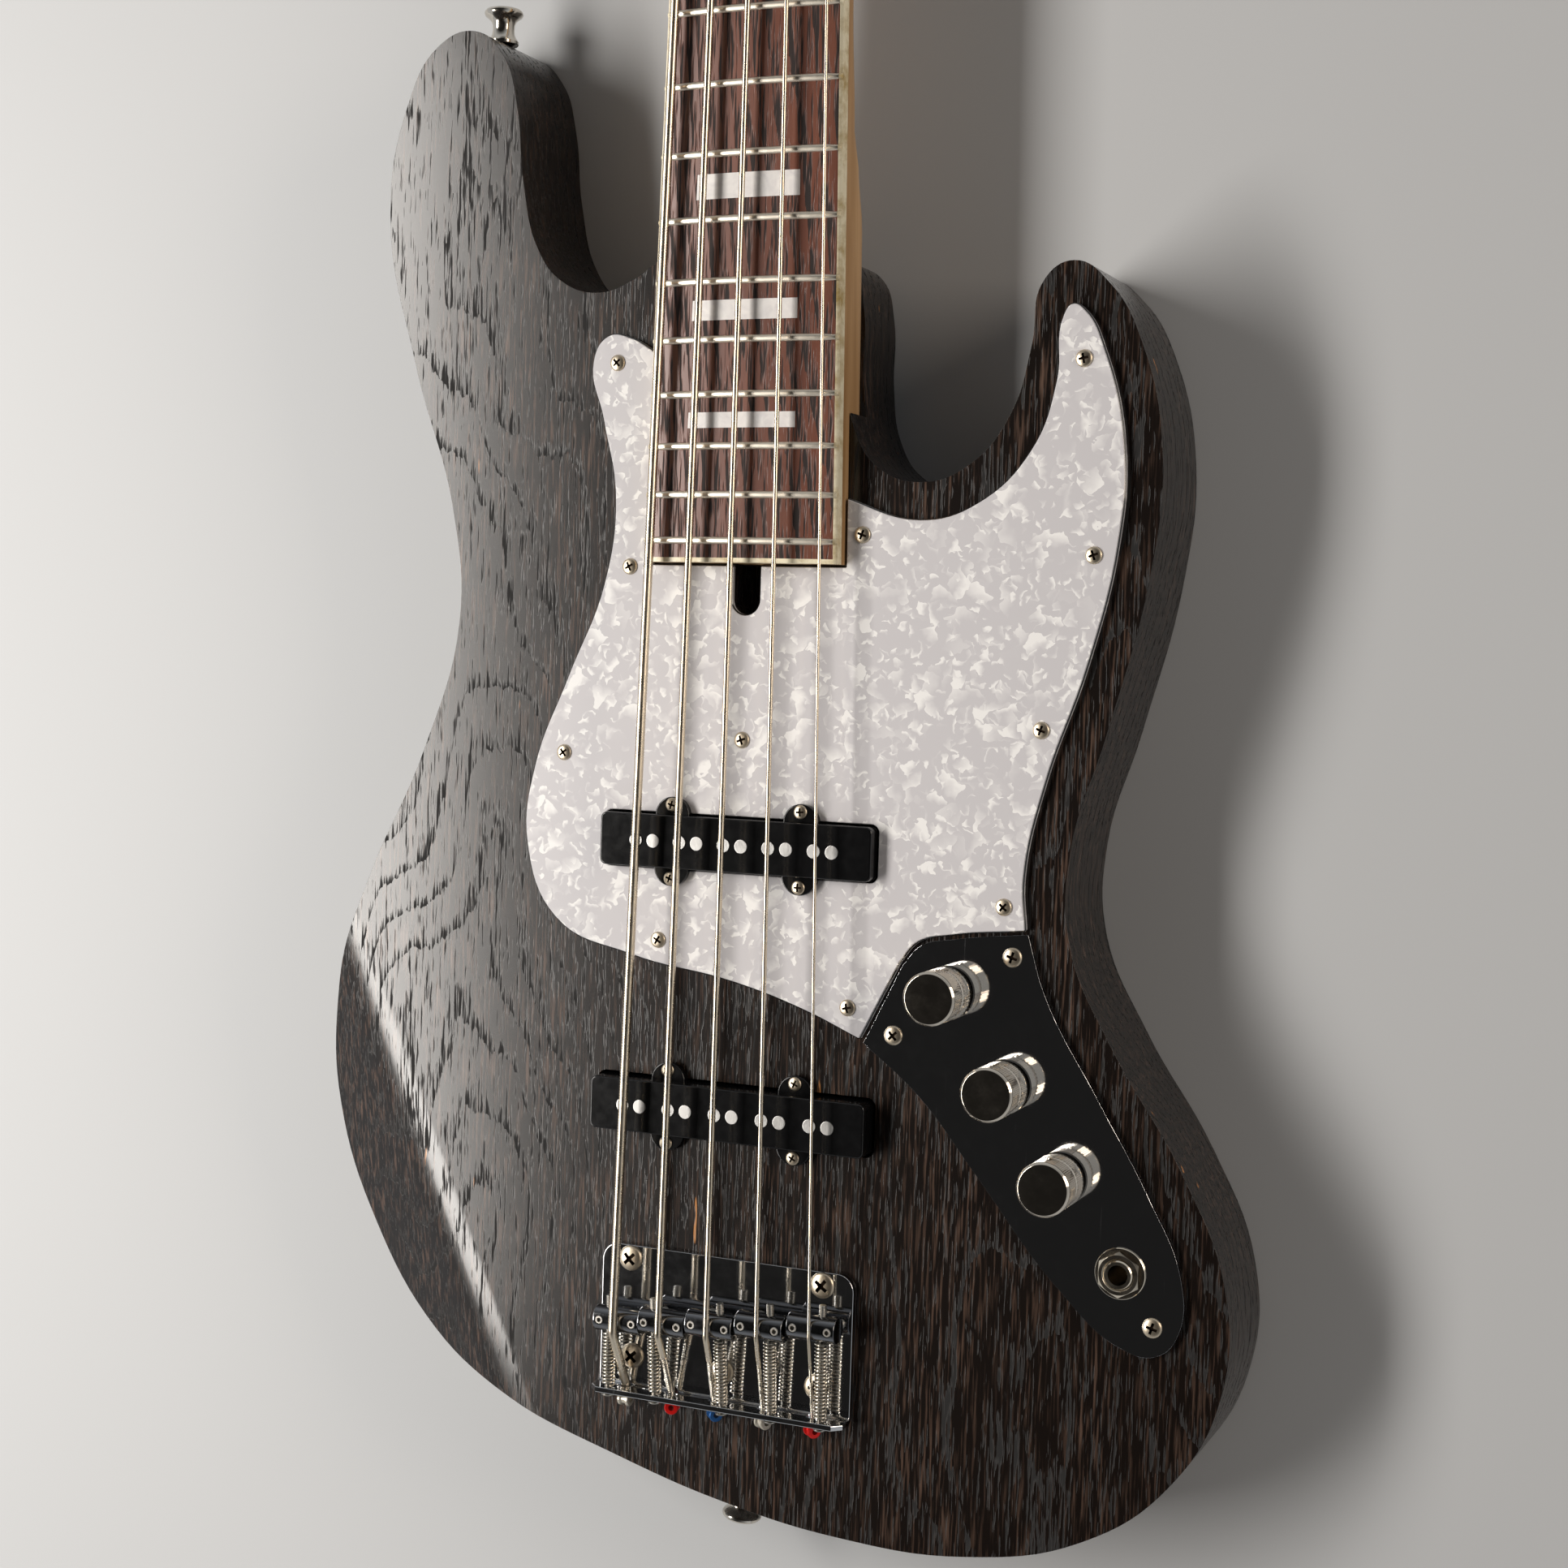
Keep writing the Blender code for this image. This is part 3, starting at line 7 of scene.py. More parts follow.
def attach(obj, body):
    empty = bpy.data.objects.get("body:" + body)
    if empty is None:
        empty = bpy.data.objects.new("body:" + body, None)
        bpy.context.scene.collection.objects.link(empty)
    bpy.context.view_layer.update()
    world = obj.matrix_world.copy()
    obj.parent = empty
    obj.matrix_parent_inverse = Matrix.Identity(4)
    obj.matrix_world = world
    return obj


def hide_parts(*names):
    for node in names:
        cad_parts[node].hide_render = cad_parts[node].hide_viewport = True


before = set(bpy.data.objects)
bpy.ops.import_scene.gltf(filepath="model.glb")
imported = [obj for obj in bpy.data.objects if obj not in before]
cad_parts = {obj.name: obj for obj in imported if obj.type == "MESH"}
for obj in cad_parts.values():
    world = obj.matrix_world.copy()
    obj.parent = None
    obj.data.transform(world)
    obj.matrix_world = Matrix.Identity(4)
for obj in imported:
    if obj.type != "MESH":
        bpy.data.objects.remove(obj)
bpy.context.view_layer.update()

# Camera and studio. The camera stands over the body's lower treble side and looks back across the
# strings, as the photograph does. One large soft lamp hangs low on the bass side, so that knobs and
# pickups throw their shadows to the treble side.
mm = 0.001


def linked(name, data):
    """A new object, put in the scene's collection."""
    made = bpy.data.objects.new(name, data)
    bpy.context.collection.objects.link(made)
    return made


camera_data = bpy.data.cameras.new("camera")
camera_data.sensor_width = 36.0
camera_data.lens = 54.98
camera = linked("camera", camera_data)
camera.matrix_world = Matrix((
    (0.91598, -0.04955, 0.39814, 0.33558),
    (0.03152, 0.99817, 0.05170, 0.21762),
    (-0.39997, -0.03480, 0.91587, 0.78011),
    (0.0, 0.0, 0.0, 1.0),
))
bpy.context.scene.camera = camera
bpy.context.scene.view_settings.view_transform = "Standard"


def lamp(name, place, target, size, watts, tint):
    """A soft oblong lamp that looks at a point."""
    data = bpy.data.lights.new(name, "AREA")
    data.shape = "RECTANGLE"
    data.size, data.size_y = size
    data.energy = watts
    data.color = tint
    made = linked(name, data)
    made.location = place
    made.rotation_euler = (Vector(target) - Vector(place)).to_track_quat("-Z", "Y").to_euler()
    return made


lamp("key_lamp", (-0.80, 0.17, 0.85), (-0.04, 0.19, 0.04), (1.15, 0.30), 18.0, (1.0, 0.96, 0.91))
lamp("rim_lamp", (1.7, 0.7, 0.75), (0.0, 0.2, 0.04), (0.9, 0.5), 10.0, (1.0, 0.86, 0.72))


def join_nodes(material, node, inputs):
    """Sets a node's sockets, by name or number, to a value or to another node's output."""
    for socket, value in inputs.items():
        if isinstance(value, bpy.types.NodeSocket):
            material.node_tree.links.new(value, node.inputs[socket])
        else:
            node.inputs[socket].default_value = value
    return node


def add(material, kind, settings, inputs):
    """Adds one node with its settings and what goes into it."""
    node = material.node_tree.nodes.new(kind)
    for name, value in settings.items():
        setattr(node, name, value)
    return join_nodes(material, node, inputs)


def colour(code):
    """An sRGB hex colour in linear light."""
    parts = [int(code[k:k + 2], 16) / 255 for k in (1, 3, 5)]
    return tuple(p / 12.92 if p <= 0.04045 else ((p + 0.055) / 1.055) ** 2.4 for p in parts) + (1.0,)


world = bpy.data.worlds.new("studio")
bpy.context.scene.world = world
world.use_nodes = True
sky = world.node_tree.nodes["Background"]
direction = add(world, "ShaderNodeTexCoord", {}, {})
height = add(world, "ShaderNodeSeparateXYZ", {}, {0: direction.outputs["Generated"]})
ceiling = add(world, "ShaderNodeValToRGB", {}, {0: height.outputs["Z"]})
ceiling.color_ramp.elements[0].position = 0.30
ceiling.color_ramp.elements[0].color = colour("#c9cbcd")
ceiling.color_ramp.elements[1].position = 0.78
ceiling.color_ramp.elements[1].color = colour("#242322")
join_nodes(world, sky, {"Color": ceiling.outputs["Color"], "Strength": 0.9})

bpy.ops.mesh.primitive_plane_add(size=14.0, location=(0.0, 0.3, -0.0005))
floor = bpy.context.object
floor.name = "floor"
# Matt backdrop paper: no gloss, so the eye gets only the soft shadow on it.
floor_paint = bpy.data.materials.new("matt_backdrop_paper")
floor_paint.use_nodes = True
join_nodes(floor_paint, floor_paint.node_tree.nodes["Principled BSDF"], {
    "Base Color": colour("#bcbdbe"), "Roughness": 0.9, "Specular IOR Level": 0.2})
floor.data.materials.append(floor_paint)


# Body: a slab of ash, two horns and two contours, its edges rounded with a 9 mm cutter. It is
# stained black into open pores and rubbed back, so that the pores stay black and the hard late
# wood between them shows brown, under a thin satin oil.
def deselect():
    """Leaves nothing selected."""
    bpy.ops.object.select_all(action="DESELECT")


def only(piece):
    """Makes one object the selected and active one."""
    deselect()
    piece.select_set(True)
    bpy.context.view_layer.objects.active = piece


def face_out(piece, near=None):
    """Merges points that lie within a distance, and turns every face outwards."""
    only(piece)
    bpy.ops.object.mode_set(mode="EDIT")
    bpy.ops.mesh.select_all(action="SELECT")
    if near:
        bpy.ops.mesh.remove_doubles(threshold=near)
    bpy.ops.mesh.normals_make_consistent(inside=False)
    bpy.ops.object.mode_set(mode="OBJECT")
    return piece


def meshed(name, verts, edges, faces):
    """An object made of points in metres, with edges and faces between them."""
    mesh = bpy.data.meshes.new(name)
    mesh.from_pydata(verts, edges, faces)
    return linked(name, mesh)


def extruded(name, corners, travel):
    """A flat polygon, given by its corners in millimetres, drawn out along a vector."""
    piece = meshed(name, [Vector(corner) * mm for corner in corners], [], [list(range(len(corners)))])
    only(piece)
    bpy.ops.object.mode_set(mode="EDIT")
    bpy.ops.mesh.select_all(action="SELECT")
    bpy.ops.mesh.extrude_region_move(TRANSFORM_OT_translate={"value": Vector(travel) * mm})
    bpy.ops.object.mode_set(mode="OBJECT")
    return face_out(piece)


def plate(name, outline, low, high, steps=8):
    """A flat piece cut to a smooth outline between two heights, in millimetres. A point with a third
    item of 1 is a sharp corner."""
    curve = bpy.data.curves.new(name, "CURVE")
    curve.resolution_u = steps
    curve.dimensions = "2D"
    curve.fill_mode = "NONE"
    spline = curve.splines.new("BEZIER")
    spline.bezier_points.add(len(outline) - 1)
    for knot, point in zip(spline.bezier_points, outline):
        knot.co = (point[0] * mm, point[1] * mm, 0.0)
        knot.handle_left_type = knot.handle_right_type = "VECTOR" if len(point) > 2 else "AUTO"
    spline.use_cyclic_u = True
    only(linked(name, curve))
    bpy.ops.object.convert(target="MESH")
    piece = bpy.context.object
    bpy.ops.object.mode_set(mode="EDIT")
    bpy.ops.mesh.select_all(action="SELECT")
    bpy.ops.mesh.remove_doubles(threshold=1e-6)
    bpy.ops.transform.translate(value=(0.0, 0.0, low * mm))
    bpy.ops.mesh.edge_face_add()
    bpy.ops.mesh.extrude_region_move(TRANSFORM_OT_translate={"value": (0.0, 0.0, (high - low) * mm)})
    bpy.ops.mesh.select_all(action="SELECT")
    bpy.ops.mesh.normals_make_consistent(inside=False)
    bpy.ops.object.mode_set(mode="OBJECT")
    return piece


def solid(low, high):
    """A box between two corners, in millimetres, used to cut or to be shaped further."""
    low, high = Vector(low) * mm, Vector(high) * mm
    deselect()
    bpy.ops.mesh.primitive_cube_add(size=1.0, location=(low + high) / 2)
    piece = bpy.context.object
    piece.scale = high - low
    bpy.ops.object.transform_apply(location=True, rotation=True, scale=True)
    return piece


def peg(start, end, radius, sides=32, tip=None):
    """A round bar or taper between two points, in millimetres."""
    start, end = Vector(start) * mm, Vector(end) * mm
    deselect()
    bpy.ops.mesh.primitive_cone_add(vertices=sides, radius1=radius * mm, depth=(end - start).length,
                                    radius2=(radius if tip is None else tip) * mm, location=(start + end) / 2)
    piece = bpy.context.object
    piece.rotation_euler = (end - start).to_track_quat("Z", "Y").to_euler()
    bpy.ops.object.transform_apply(location=True, rotation=True, scale=True)
    return piece


def merge(pieces):
    """Several separate shapes in one object."""
    deselect()
    for piece in pieces:
        piece.select_set(True)
    bpy.context.view_layer.objects.active = pieces[0]
    bpy.ops.object.join()
    return bpy.context.object


def carve(piece, cutter, operation="DIFFERENCE"):
    """Cuts one shape out of another, or joins them."""
    step = piece.modifiers.new("carve", "BOOLEAN")
    step.operation = operation
    step.solver = "EXACT"
    step.object = cutter
    only(piece)
    bpy.ops.object.modifier_apply(modifier=step.name)
    bpy.data.objects.remove(cutter, do_unlink=True)
    return piece


def soften(piece, width, segments=3, angle=30.0):
    """Rounds every edge that turns more than an angle."""
    step = piece.modifiers.new("soften", "BEVEL")
    step.width = width * mm
    step.segments = segments
    step.limit_method = "ANGLE"
    step.angle_limit = math.radians(angle)
    step.use_clamp_overlap = True
    step.harden_normals = False
    only(piece)
    bpy.ops.object.modifier_apply(modifier=step.name)
    return piece


def weigh_normals(piece):
    """Lets the large flat faces keep their flat shading beside rounded edges."""
    step = piece.modifiers.new("weigh", "WEIGHTED_NORMAL")
    step.keep_sharp = True
    step.weight = 80
    only(piece)
    bpy.ops.object.modifier_apply(modifier=step.name)
    return piece


def finish(piece, name, material, body="instrument", stands_for=(), smooth=30.0):
    """Names a piece, shades it, gives it its material and ties it to the frame."""
    piece.name = name
    piece.data.name = name
    only(piece)
    bpy.ops.object.transform_apply(location=True, rotation=True, scale=True)
    bpy.ops.object.shade_smooth_by_angle(angle=math.radians(smooth))
    if smooth < 50.0:
        weigh_normals(piece)
    piece.data.materials.clear()
    piece.data.materials.append(material)
    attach(piece, body)
    if stands_for:
        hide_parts(*stands_for)
    return piece


front = 43.0
edge_round = 9.0
body_outline = (
    (-36.5, 352.5), (-46.0, 346.6), (-60.0, 342.2), (-74.5, 346.2), (-84.5, 357.5),
    (-91.2, 381.0), (-94.6, 408.0), (-100.5, 425.5), (-112.5, 435.0), (-127.5, 430.5),
    (-139.4, 411.0), (-145.7, 372.0), (-133.5, 318.5), (-116.5, 267.0), (-112.8, 228.0),
    (-126.5, 181.0), (-148.0, 135.0), (-164.0, 88.0), (-165.8, 48.0), (-150.0, 5.0),
    (-121.0, -30.5), (-83.0, -49.5), (-42.0, -62.0), (0.0, -71.8), (44.0, -77.0),
    (88.0, -75.5), (128.0, -63.5), (156.5, -40.0), (171.5, -9.0), (171.2, 25.0),
    (156.0, 60.0), (132.0, 97.0), (116.6, 129.0), (115.8, 160.0), (126.0, 196.5),
    (138.2, 247.0), (140.8, 286.0), (132.6, 321.0), (121.5, 339.5), (109.5, 347.0),
    (99.8, 341.0), (96.6, 321.0), (90.6, 299.5), (77.5, 283.0), (60.5, 277.0),
    (45.0, 282.0), (36.5, 294.5), (33.4, 312.0), (32.6, 336.0),
    (28.0, 350.0), (18.0, 355.0), (0.0, 355.0), (-20.0, 355.0),
)
slab = plate("body_slab", body_outline, 0.0, front, 8)

# The forearm contour falls away from a line across the lower bass side, gently at first.
contour_start = Vector((-153.0, 122.0))
contour_end = Vector((-70.0, -58.0))
contour_slope = 0.33
contour_ease = 18.0
along = (contour_end - contour_start).normalized()
outward = Vector((along.y, -along.x))
middle = (contour_start + contour_end) / 2
section = [(0.0, 0.02)]
for reach in (3.0, 6.0, 9.0, 12.0, 15.0, 18.0):
    section.append((reach, -contour_slope * reach * reach / (2 * contour_ease)))
section += [(90.0, -contour_slope * (90.0 - contour_ease / 2)), (90.0, 40.0), (-4.0, 40.0)]
cutter_length = 520.0
corners = []
for reach, lift in section:
    spot = middle + outward * reach - along * cutter_length / 2
    corners.append((spot.x, spot.y, front + lift))
cut_travel = (along.x * cutter_length, along.y * cutter_length, 0.0)
carve(slab, extruded("forearm_cutter", corners, cut_travel))

# The belly contour is a shallow scoop in the back at the bass-side waist.
belly_radius = 210.0
carve(slab,
      peg((-210.0, 222.0, -belly_radius + 15.0), (-80.0, 222.0, -belly_radius + 2.0), belly_radius, 240))
soften(slab, edge_round, 8, 38.0)

# Routs: the neck pocket, the slot to the truss rod's nut, the recesses round the neck bolts, a well
# under each pickup and the cavity under the control plate.
def rounded_rectangle(half_x, half_y, radius, x, y, sides=5):
    """A rectangle about a point, its corners as arcs of points, in millimetres."""
    loop = []
    for quarter, (sx, sy) in enumerate(((1, 1), (-1, 1), (-1, -1), (1, -1))):
        for k in range(sides + 1):
            turn = math.pi / 2 * (quarter + k / sides)
            loop.append((x + sx * (half_x - radius) + radius * math.cos(turn),
                         y + sy * (half_y - radius) + radius * math.sin(turn), 1))
    return loop


board_end = 249.54
pocket_floor, pocket_far = 28.8, 390.0
pocket_gap, guard_gap = 0.3, 0.5
cut_low, cut_high = 30.0, 60.0
neck_half_near, neck_half_far = 35.4, 33.0


def heel_outline(gap):
    """The neck's plan where it crosses the body, with a gap all round."""
    return ((-neck_half_near - gap, board_end - gap, 1), (neck_half_near + gap, board_end - gap, 1),
            (neck_half_far + gap, pocket_far, 1), (-neck_half_far - gap, pocket_far, 1))


carve(slab, plate("pocket", heel_outline(pocket_gap), pocket_floor - pocket_gap, 70.0, 1))
slot_half, slot_y, slot_mouth, slot_depth = 5.0, 237.5, 252.0, 12.0
slot_outline = []
for k in range(17):
    turn = math.pi * (1 + k / 16)
    slot_outline.append((slot_half * math.cos(turn), slot_y + slot_half * math.sin(turn), 1))
slot_outline += [(slot_half, slot_mouth, 1), (-slot_half, slot_mouth, 1)]
carve(slab, plate("rod_slot", slot_outline, front - slot_depth, cut_high, 1))
bolt_spots = [(side * 20.0, y) for y in (267.54, 331.0) for side in (-1, 1)]
recess_radius, bolt_hole = 7.1, 2.8
for x, y in bolt_spots:
    carve(slab, peg((x, y, -4.0), (x, y, 3.5), recess_radius, 48))
    carve(slab, peg((x, y, 3.0), (x, y, 40.0), bolt_hole, 24))
neck_pickup_y, neck_pickup_half = 154.6, 50.2
bridge_pickup_y, bridge_pickup_half = 63.0, 51.0
pickup_half_width = 9.1
rout_gap, rout_depth, cavity_depth = 1.0, 20.0, 35.0
for y, half in ((neck_pickup_y, neck_pickup_half), (bridge_pickup_y, bridge_pickup_half)):
    rout = rounded_rectangle(half + rout_gap, pickup_half_width + rout_gap, 3.0, 0.0, y)
    carve(slab, plate("rout", rout, front - rout_depth, cut_high, 1))
cavity_outline = (
    (62.0, 108.0), (72.0, 124.0), (92.0, 126.0), (106.0, 106.0), (134.0, 62.0),
    (152.0, 30.0), (153.0, 18.0), (143.0, 9.0), (128.0, 15.0), (104.0, 46.0), (70.0, 88.0),
)
carve(slab, plate("cavity", cavity_outline, front - cavity_depth, cut_high, 6))


# The wood is two planks of ash joined under the strings, each flat sawn, so that the rings come out
# as arches over its middle and as lines along its sides. Early wood is a crowd of black pores, and
# the late wood between is rubbed back to brown streaks, with a few flecks of bare wood.
plank_middle = 0.115
ring_spacing = 0.0052
# How much the rings lean along and through the plank, and how far, in metres, they wander and fray.
lean_along, lean_through, ring_wander, ring_rag = 0.085, 0.9, 0.085, 0.0022


def new_material(name):
    """A material, and the point of the piece that its patterns are laid out by."""
    made = bpy.data.materials.new(name)
    made.use_nodes = True
    return made, add(made, "ShaderNodeTexCoord", {}, {}).outputs["Object"]


def stretched(material, vector, across, lengthways, detail=2.0, roughness=0.5):
    """Noise drawn out along the grain. The scales are in cells per metre."""
    drawn = add(material, "ShaderNodeMapping", {}, {"Vector": vector, "Scale": (across, lengthways, across)})
    return add(material, "ShaderNodeTexNoise", {}, {
        "Vector": drawn.outputs[0], "Scale": 1.0, "Detail": detail, "Roughness": roughness}).outputs["Fac"]


# Black-stained ash under a thin oil: brown-black with a soft sheen that the matt pores break up. The
# pores are drawn 0.7 mm wide and 12 mm long and the streaks 1 mm wide, about twice what the real
# ones are, so that they show.
ash, place = new_material("black_stained_ash")
axis = add(ash, "ShaderNodeSeparateXYZ", {}, {0: place})
plank = add(ash, "ShaderNodeMath", {"operation": "ABSOLUTE"}, {0: axis.outputs["X"]})
across = add(ash, "ShaderNodeMath", {"operation": "SUBTRACT"}, {0: plank.outputs[0], 1: plank_middle})
depth = add(ash, "ShaderNodeMath", {"operation": "MULTIPLY"}, {0: axis.outputs["Y"], 1: lean_along})
depth = add(ash, "ShaderNodeMath", {"operation": "MULTIPLY_ADD"}, {
    0: axis.outputs["Z"], 1: lean_through, 2: depth.outputs[0]})
depth = add(ash, "ShaderNodeMath", {"operation": "MULTIPLY_ADD"}, {
    0: stretched(ash, place, 11.0, 4.0), 1: ring_wander, 2: depth.outputs[0]})
pith = add(ash, "ShaderNodeCombineXYZ", {}, {"X": across.outputs[0], "Y": depth.outputs[0]})
reach = add(ash, "ShaderNodeVectorMath", {"operation": "LENGTH"}, {0: pith.outputs[0]})
ragged = add(ash, "ShaderNodeMath", {"operation": "MULTIPLY_ADD"}, {
    0: stretched(ash, place, 430.0, 36.0), 1: ring_rag, 2: reach.outputs["Value"]})
rings = add(ash, "ShaderNodeMath", {"operation": "DIVIDE"}, {0: ragged.outputs[0], 1: ring_spacing})
ring = add(ash, "ShaderNodeMath", {"operation": "FRACT"}, {0: rings.outputs[0]})
early = add(ash, "ShaderNodeMapRange", {}, {"Value": ring.outputs[0], "From Min": 0.03, "From Max": 0.3,
                                            "To Min": 1.0, "To Max": 0.0})
crowd = add(ash, "ShaderNodeMath", {"operation": "MULTIPLY_ADD"}, {
    0: early.outputs[0], 1: 0.17, 2: stretched(ash, place, 1500.0, 85.0, 1.5, 0.6)})
pores = add(ash, "ShaderNodeMapRange", {}, {"Value": crowd.outputs[0], "From Min": 0.60, "From Max": 0.70})
streaks = add(ash, "ShaderNodeMapRange", {}, {
    "Value": stretched(ash, place, 1000.0, 50.0, 3.0), "From Min": 0.5, "From Max": 0.72})
patches = add(ash, "ShaderNodeMapRange", {}, {
    "Value": stretched(ash, place, 55.0, 7.0), "From Min": 0.35, "From Max": 0.65, "To Min": 0.3,
    "To Max": 1.0})
late = add(ash, "ShaderNodeMath", {"operation": "MULTIPLY_ADD"}, {0: early.outputs[0], 1: -0.7, 2: 1.0})
shown = add(ash, "ShaderNodeMath", {"operation": "MULTIPLY"}, {0: late.outputs[0], 1: patches.outputs[0]})
rubbed = add(ash, "ShaderNodeMath", {"operation": "MULTIPLY"}, {0: streaks.outputs[0], 1: shown.outputs[0]})
flecks = add(ash, "ShaderNodeMapRange", {}, {
    "Value": stretched(ash, place, 210.0, 22.0, 3.0), "From Min": 0.735, "From Max": 0.76})
tone = add(ash, "ShaderNodeMix", {"data_type": "RGBA"}, {
    0: rubbed.outputs[0], 6: colour("#130d0a"), 7: colour("#5e4a3f")})
bare = add(ash, "ShaderNodeMix", {"data_type": "RGBA"}, {
    0: flecks.outputs[0], 6: tone.outputs[2], 7: colour("#b87d48")})
stain = add(ash, "ShaderNodeMix", {"data_type": "RGBA"}, {
    0: pores.outputs[0], 6: bare.outputs[2], 7: colour("#0b0807")})
gloss = add(ash, "ShaderNodeMapRange", {}, {"Value": pores.outputs[0], "To Min": 0.19, "To Max": 0.9})
relief = add(ash, "ShaderNodeBump", {"invert": True}, {
    "Strength": 0.25, "Distance": 0.0001, "Height": pores.outputs[0]})
join_nodes(ash, ash.node_tree.nodes["Principled BSDF"], {
    "Base Color": stain.outputs[2], "Roughness": gloss.outputs[0], "Normal": relief.outputs[0],
    "Specular IOR Level": 0.6})
finish(slab, "body_wood", ash, stands_for=("body",), smooth=28.0)


# Pickguard: three plies of plastic, the top one white pearloid, with a bevelled edge that shows the
# black middle ply as a thin line. It is held by eleven small countersunk screws.
guard_low, guard_top = front + 0.1, front + 2.6
guard_outline = (
    (-38.0, 322.0, 1), (-45.5, 326.0), (-55.0, 327.0), (-60.6, 318.5), (-56.0, 298.0),
    (-50.6, 272.0), (-54.0, 242.0), (-67.0, 210.0), (-79.5, 178.0), (-81.8, 151.0),
    (-69.5, 125.0), (-40.0, 114.4), (0.0, 107.8), (26.0, 100.6), (46.4, 92.6, 1),
    (60.0, 119.6, 1), (66.0, 126.6), (77.0, 129.6), (102.6, 132.8, 1), (101.4, 150.0),
    (107.5, 181.0), (120.0, 219.0), (128.4, 257.0), (129.4, 287.0), (121.5, 319.0),
    (114.8, 331.0), (110.4, 333.2), (107.3, 329.5), (105.8, 309.0), (98.5, 287.5),
    (80.5, 270.0), (61.5, 264.8), (34.5, 272.0, 1),
)
guard = plate("guard", guard_outline, guard_low, guard_top, 8)
pickup_cut = rounded_rectangle(
    neck_pickup_half + pocket_gap, pickup_half_width + pocket_gap, 2.3, 0.0, neck_pickup_y)
for cut_outline in (heel_outline(guard_gap), slot_outline, pickup_cut):
    carve(guard, plate("guard_cut", cut_outline, cut_low, cut_high, 1))
edge = guard.modifiers.new("edge", "BEVEL")
edge.width, edge.segments, edge.limit_method = 0.9 * mm, 1, "ANGLE"
edge.angle_limit = math.radians(60)
only(guard)
bpy.ops.object.modifier_apply(modifier="edge")

# Pearloid is sheet cast round curled flakes, 3 to 9 mm across: cool white whose flakes each shade
# from dull to bright, under a clear gloss. The black middle ply shows as a line in the bevel.
pearl, spot = new_material("pearloid_three_ply")
stir = add(pearl, "ShaderNodeTexNoise", {}, {"Vector": spot, "Scale": 220.0, "Detail": 2.0})
stirred = add(pearl, "ShaderNodeVectorMath", {"operation": "MULTIPLY_ADD"}, {
    0: stir.outputs["Color"], 1: (0.006, 0.006, 0.0), 2: spot})
flat = add(pearl, "ShaderNodeVectorMath", {"operation": "MULTIPLY"}, {
    0: stirred.outputs[0], 1: (1.0, 1.0, 0.0)})
shines = []
for per_metre, share in ((170.0, 0.45), (330.0, 0.35), (115.0, 0.5)):
    # Each flake is a cell that brightens towards one side, as a curled flake does, and few are lit.
    flakes = add(pearl, "ShaderNodeTexVoronoi", {"voronoi_dimensions": "2D"}, {
        "Vector": flat.outputs[0], "Scale": per_metre, "Randomness": 1.0})
    from_middle = add(pearl, "ShaderNodeVectorMath", {"operation": "SUBTRACT"}, {
        0: flat.outputs[0], 1: flakes.outputs["Position"]})
    tilt = add(pearl, "ShaderNodeVectorMath", {"operation": "SUBTRACT"}, {
        0: flakes.outputs["Color"], 1: (0.5, 0.5, 0.5)})
    slope = add(pearl, "ShaderNodeVectorMath", {"operation": "DOT_PRODUCT"}, {
        0: from_middle.outputs[0], 1: tilt.outputs[0]})
    curl = add(pearl, "ShaderNodeMath", {"operation": "MULTIPLY_ADD"}, {
        0: slope.outputs["Value"], 1: 5.5 * per_metre, 2: 0.0})
    chance = add(pearl, "ShaderNodeSeparateXYZ", {}, {0: flakes.outputs["Color"]})
    lit = add(pearl, "ShaderNodeMapRange", {}, {
        "Value": chance.outputs["Z"], "From Min": share, "From Max": share + 0.35})
    shines.append(add(pearl, "ShaderNodeMath", {"operation": "MULTIPLY", "use_clamp": True}, {
        0: curl.outputs[0], 1: lit.outputs[0]}))
glint = add(pearl, "ShaderNodeMath", {"operation": "MAXIMUM"}, {
    0: shines[0].outputs[0], 1: shines[1].outputs[0]})
glint = add(pearl, "ShaderNodeMath", {"operation": "MAXIMUM"}, {0: glint.outputs[0], 1: shines[2].outputs[0]})
sheen = add(pearl, "ShaderNodeValToRGB", {}, {0: glint.outputs[0]})
sheen.color_ramp.elements[0].color = colour("#cac7c9")
sheen.color_ramp.elements[1].color = colour("#efedeb")
sheen.color_ramp.elements[1].position = 0.85
level = add(pearl, "ShaderNodeSeparateXYZ", {}, {0: spot})
ply = add(pearl, "ShaderNodeValToRGB", {}, {0: add(pearl, "ShaderNodeMapRange", {}, {
    "Value": level.outputs["Z"], "From Min": guard_low * mm, "From Max": guard_top * mm}).outputs[0]})
ply.color_ramp.interpolation = "CONSTANT"
ply.color_ramp.elements[0].color = (1.0, 1.0, 1.0, 1.0)
ply.color_ramp.elements[1].position = 0.66
ply.color_ramp.elements[1].color = (0.0, 0.0, 0.0, 1.0)
upper_ply = ply.color_ramp.elements.new(0.90)
upper_ply.color = (1.0, 1.0, 1.0, 1.0)
layered = add(pearl, "ShaderNodeMix", {"data_type": "RGBA"}, {
    0: ply.outputs["Color"], 6: colour("#141414"), 7: sheen.outputs["Color"]})
join_nodes(pearl, pearl.node_tree.nodes["Principled BSDF"], {
    "Base Color": layered.outputs[2], "Roughness": 0.16, "Coat Weight": 0.4, "Coat Roughness": 0.05})
finish(guard, "pickguard_plies", pearl, stands_for=("pickguard",), smooth=20.0)


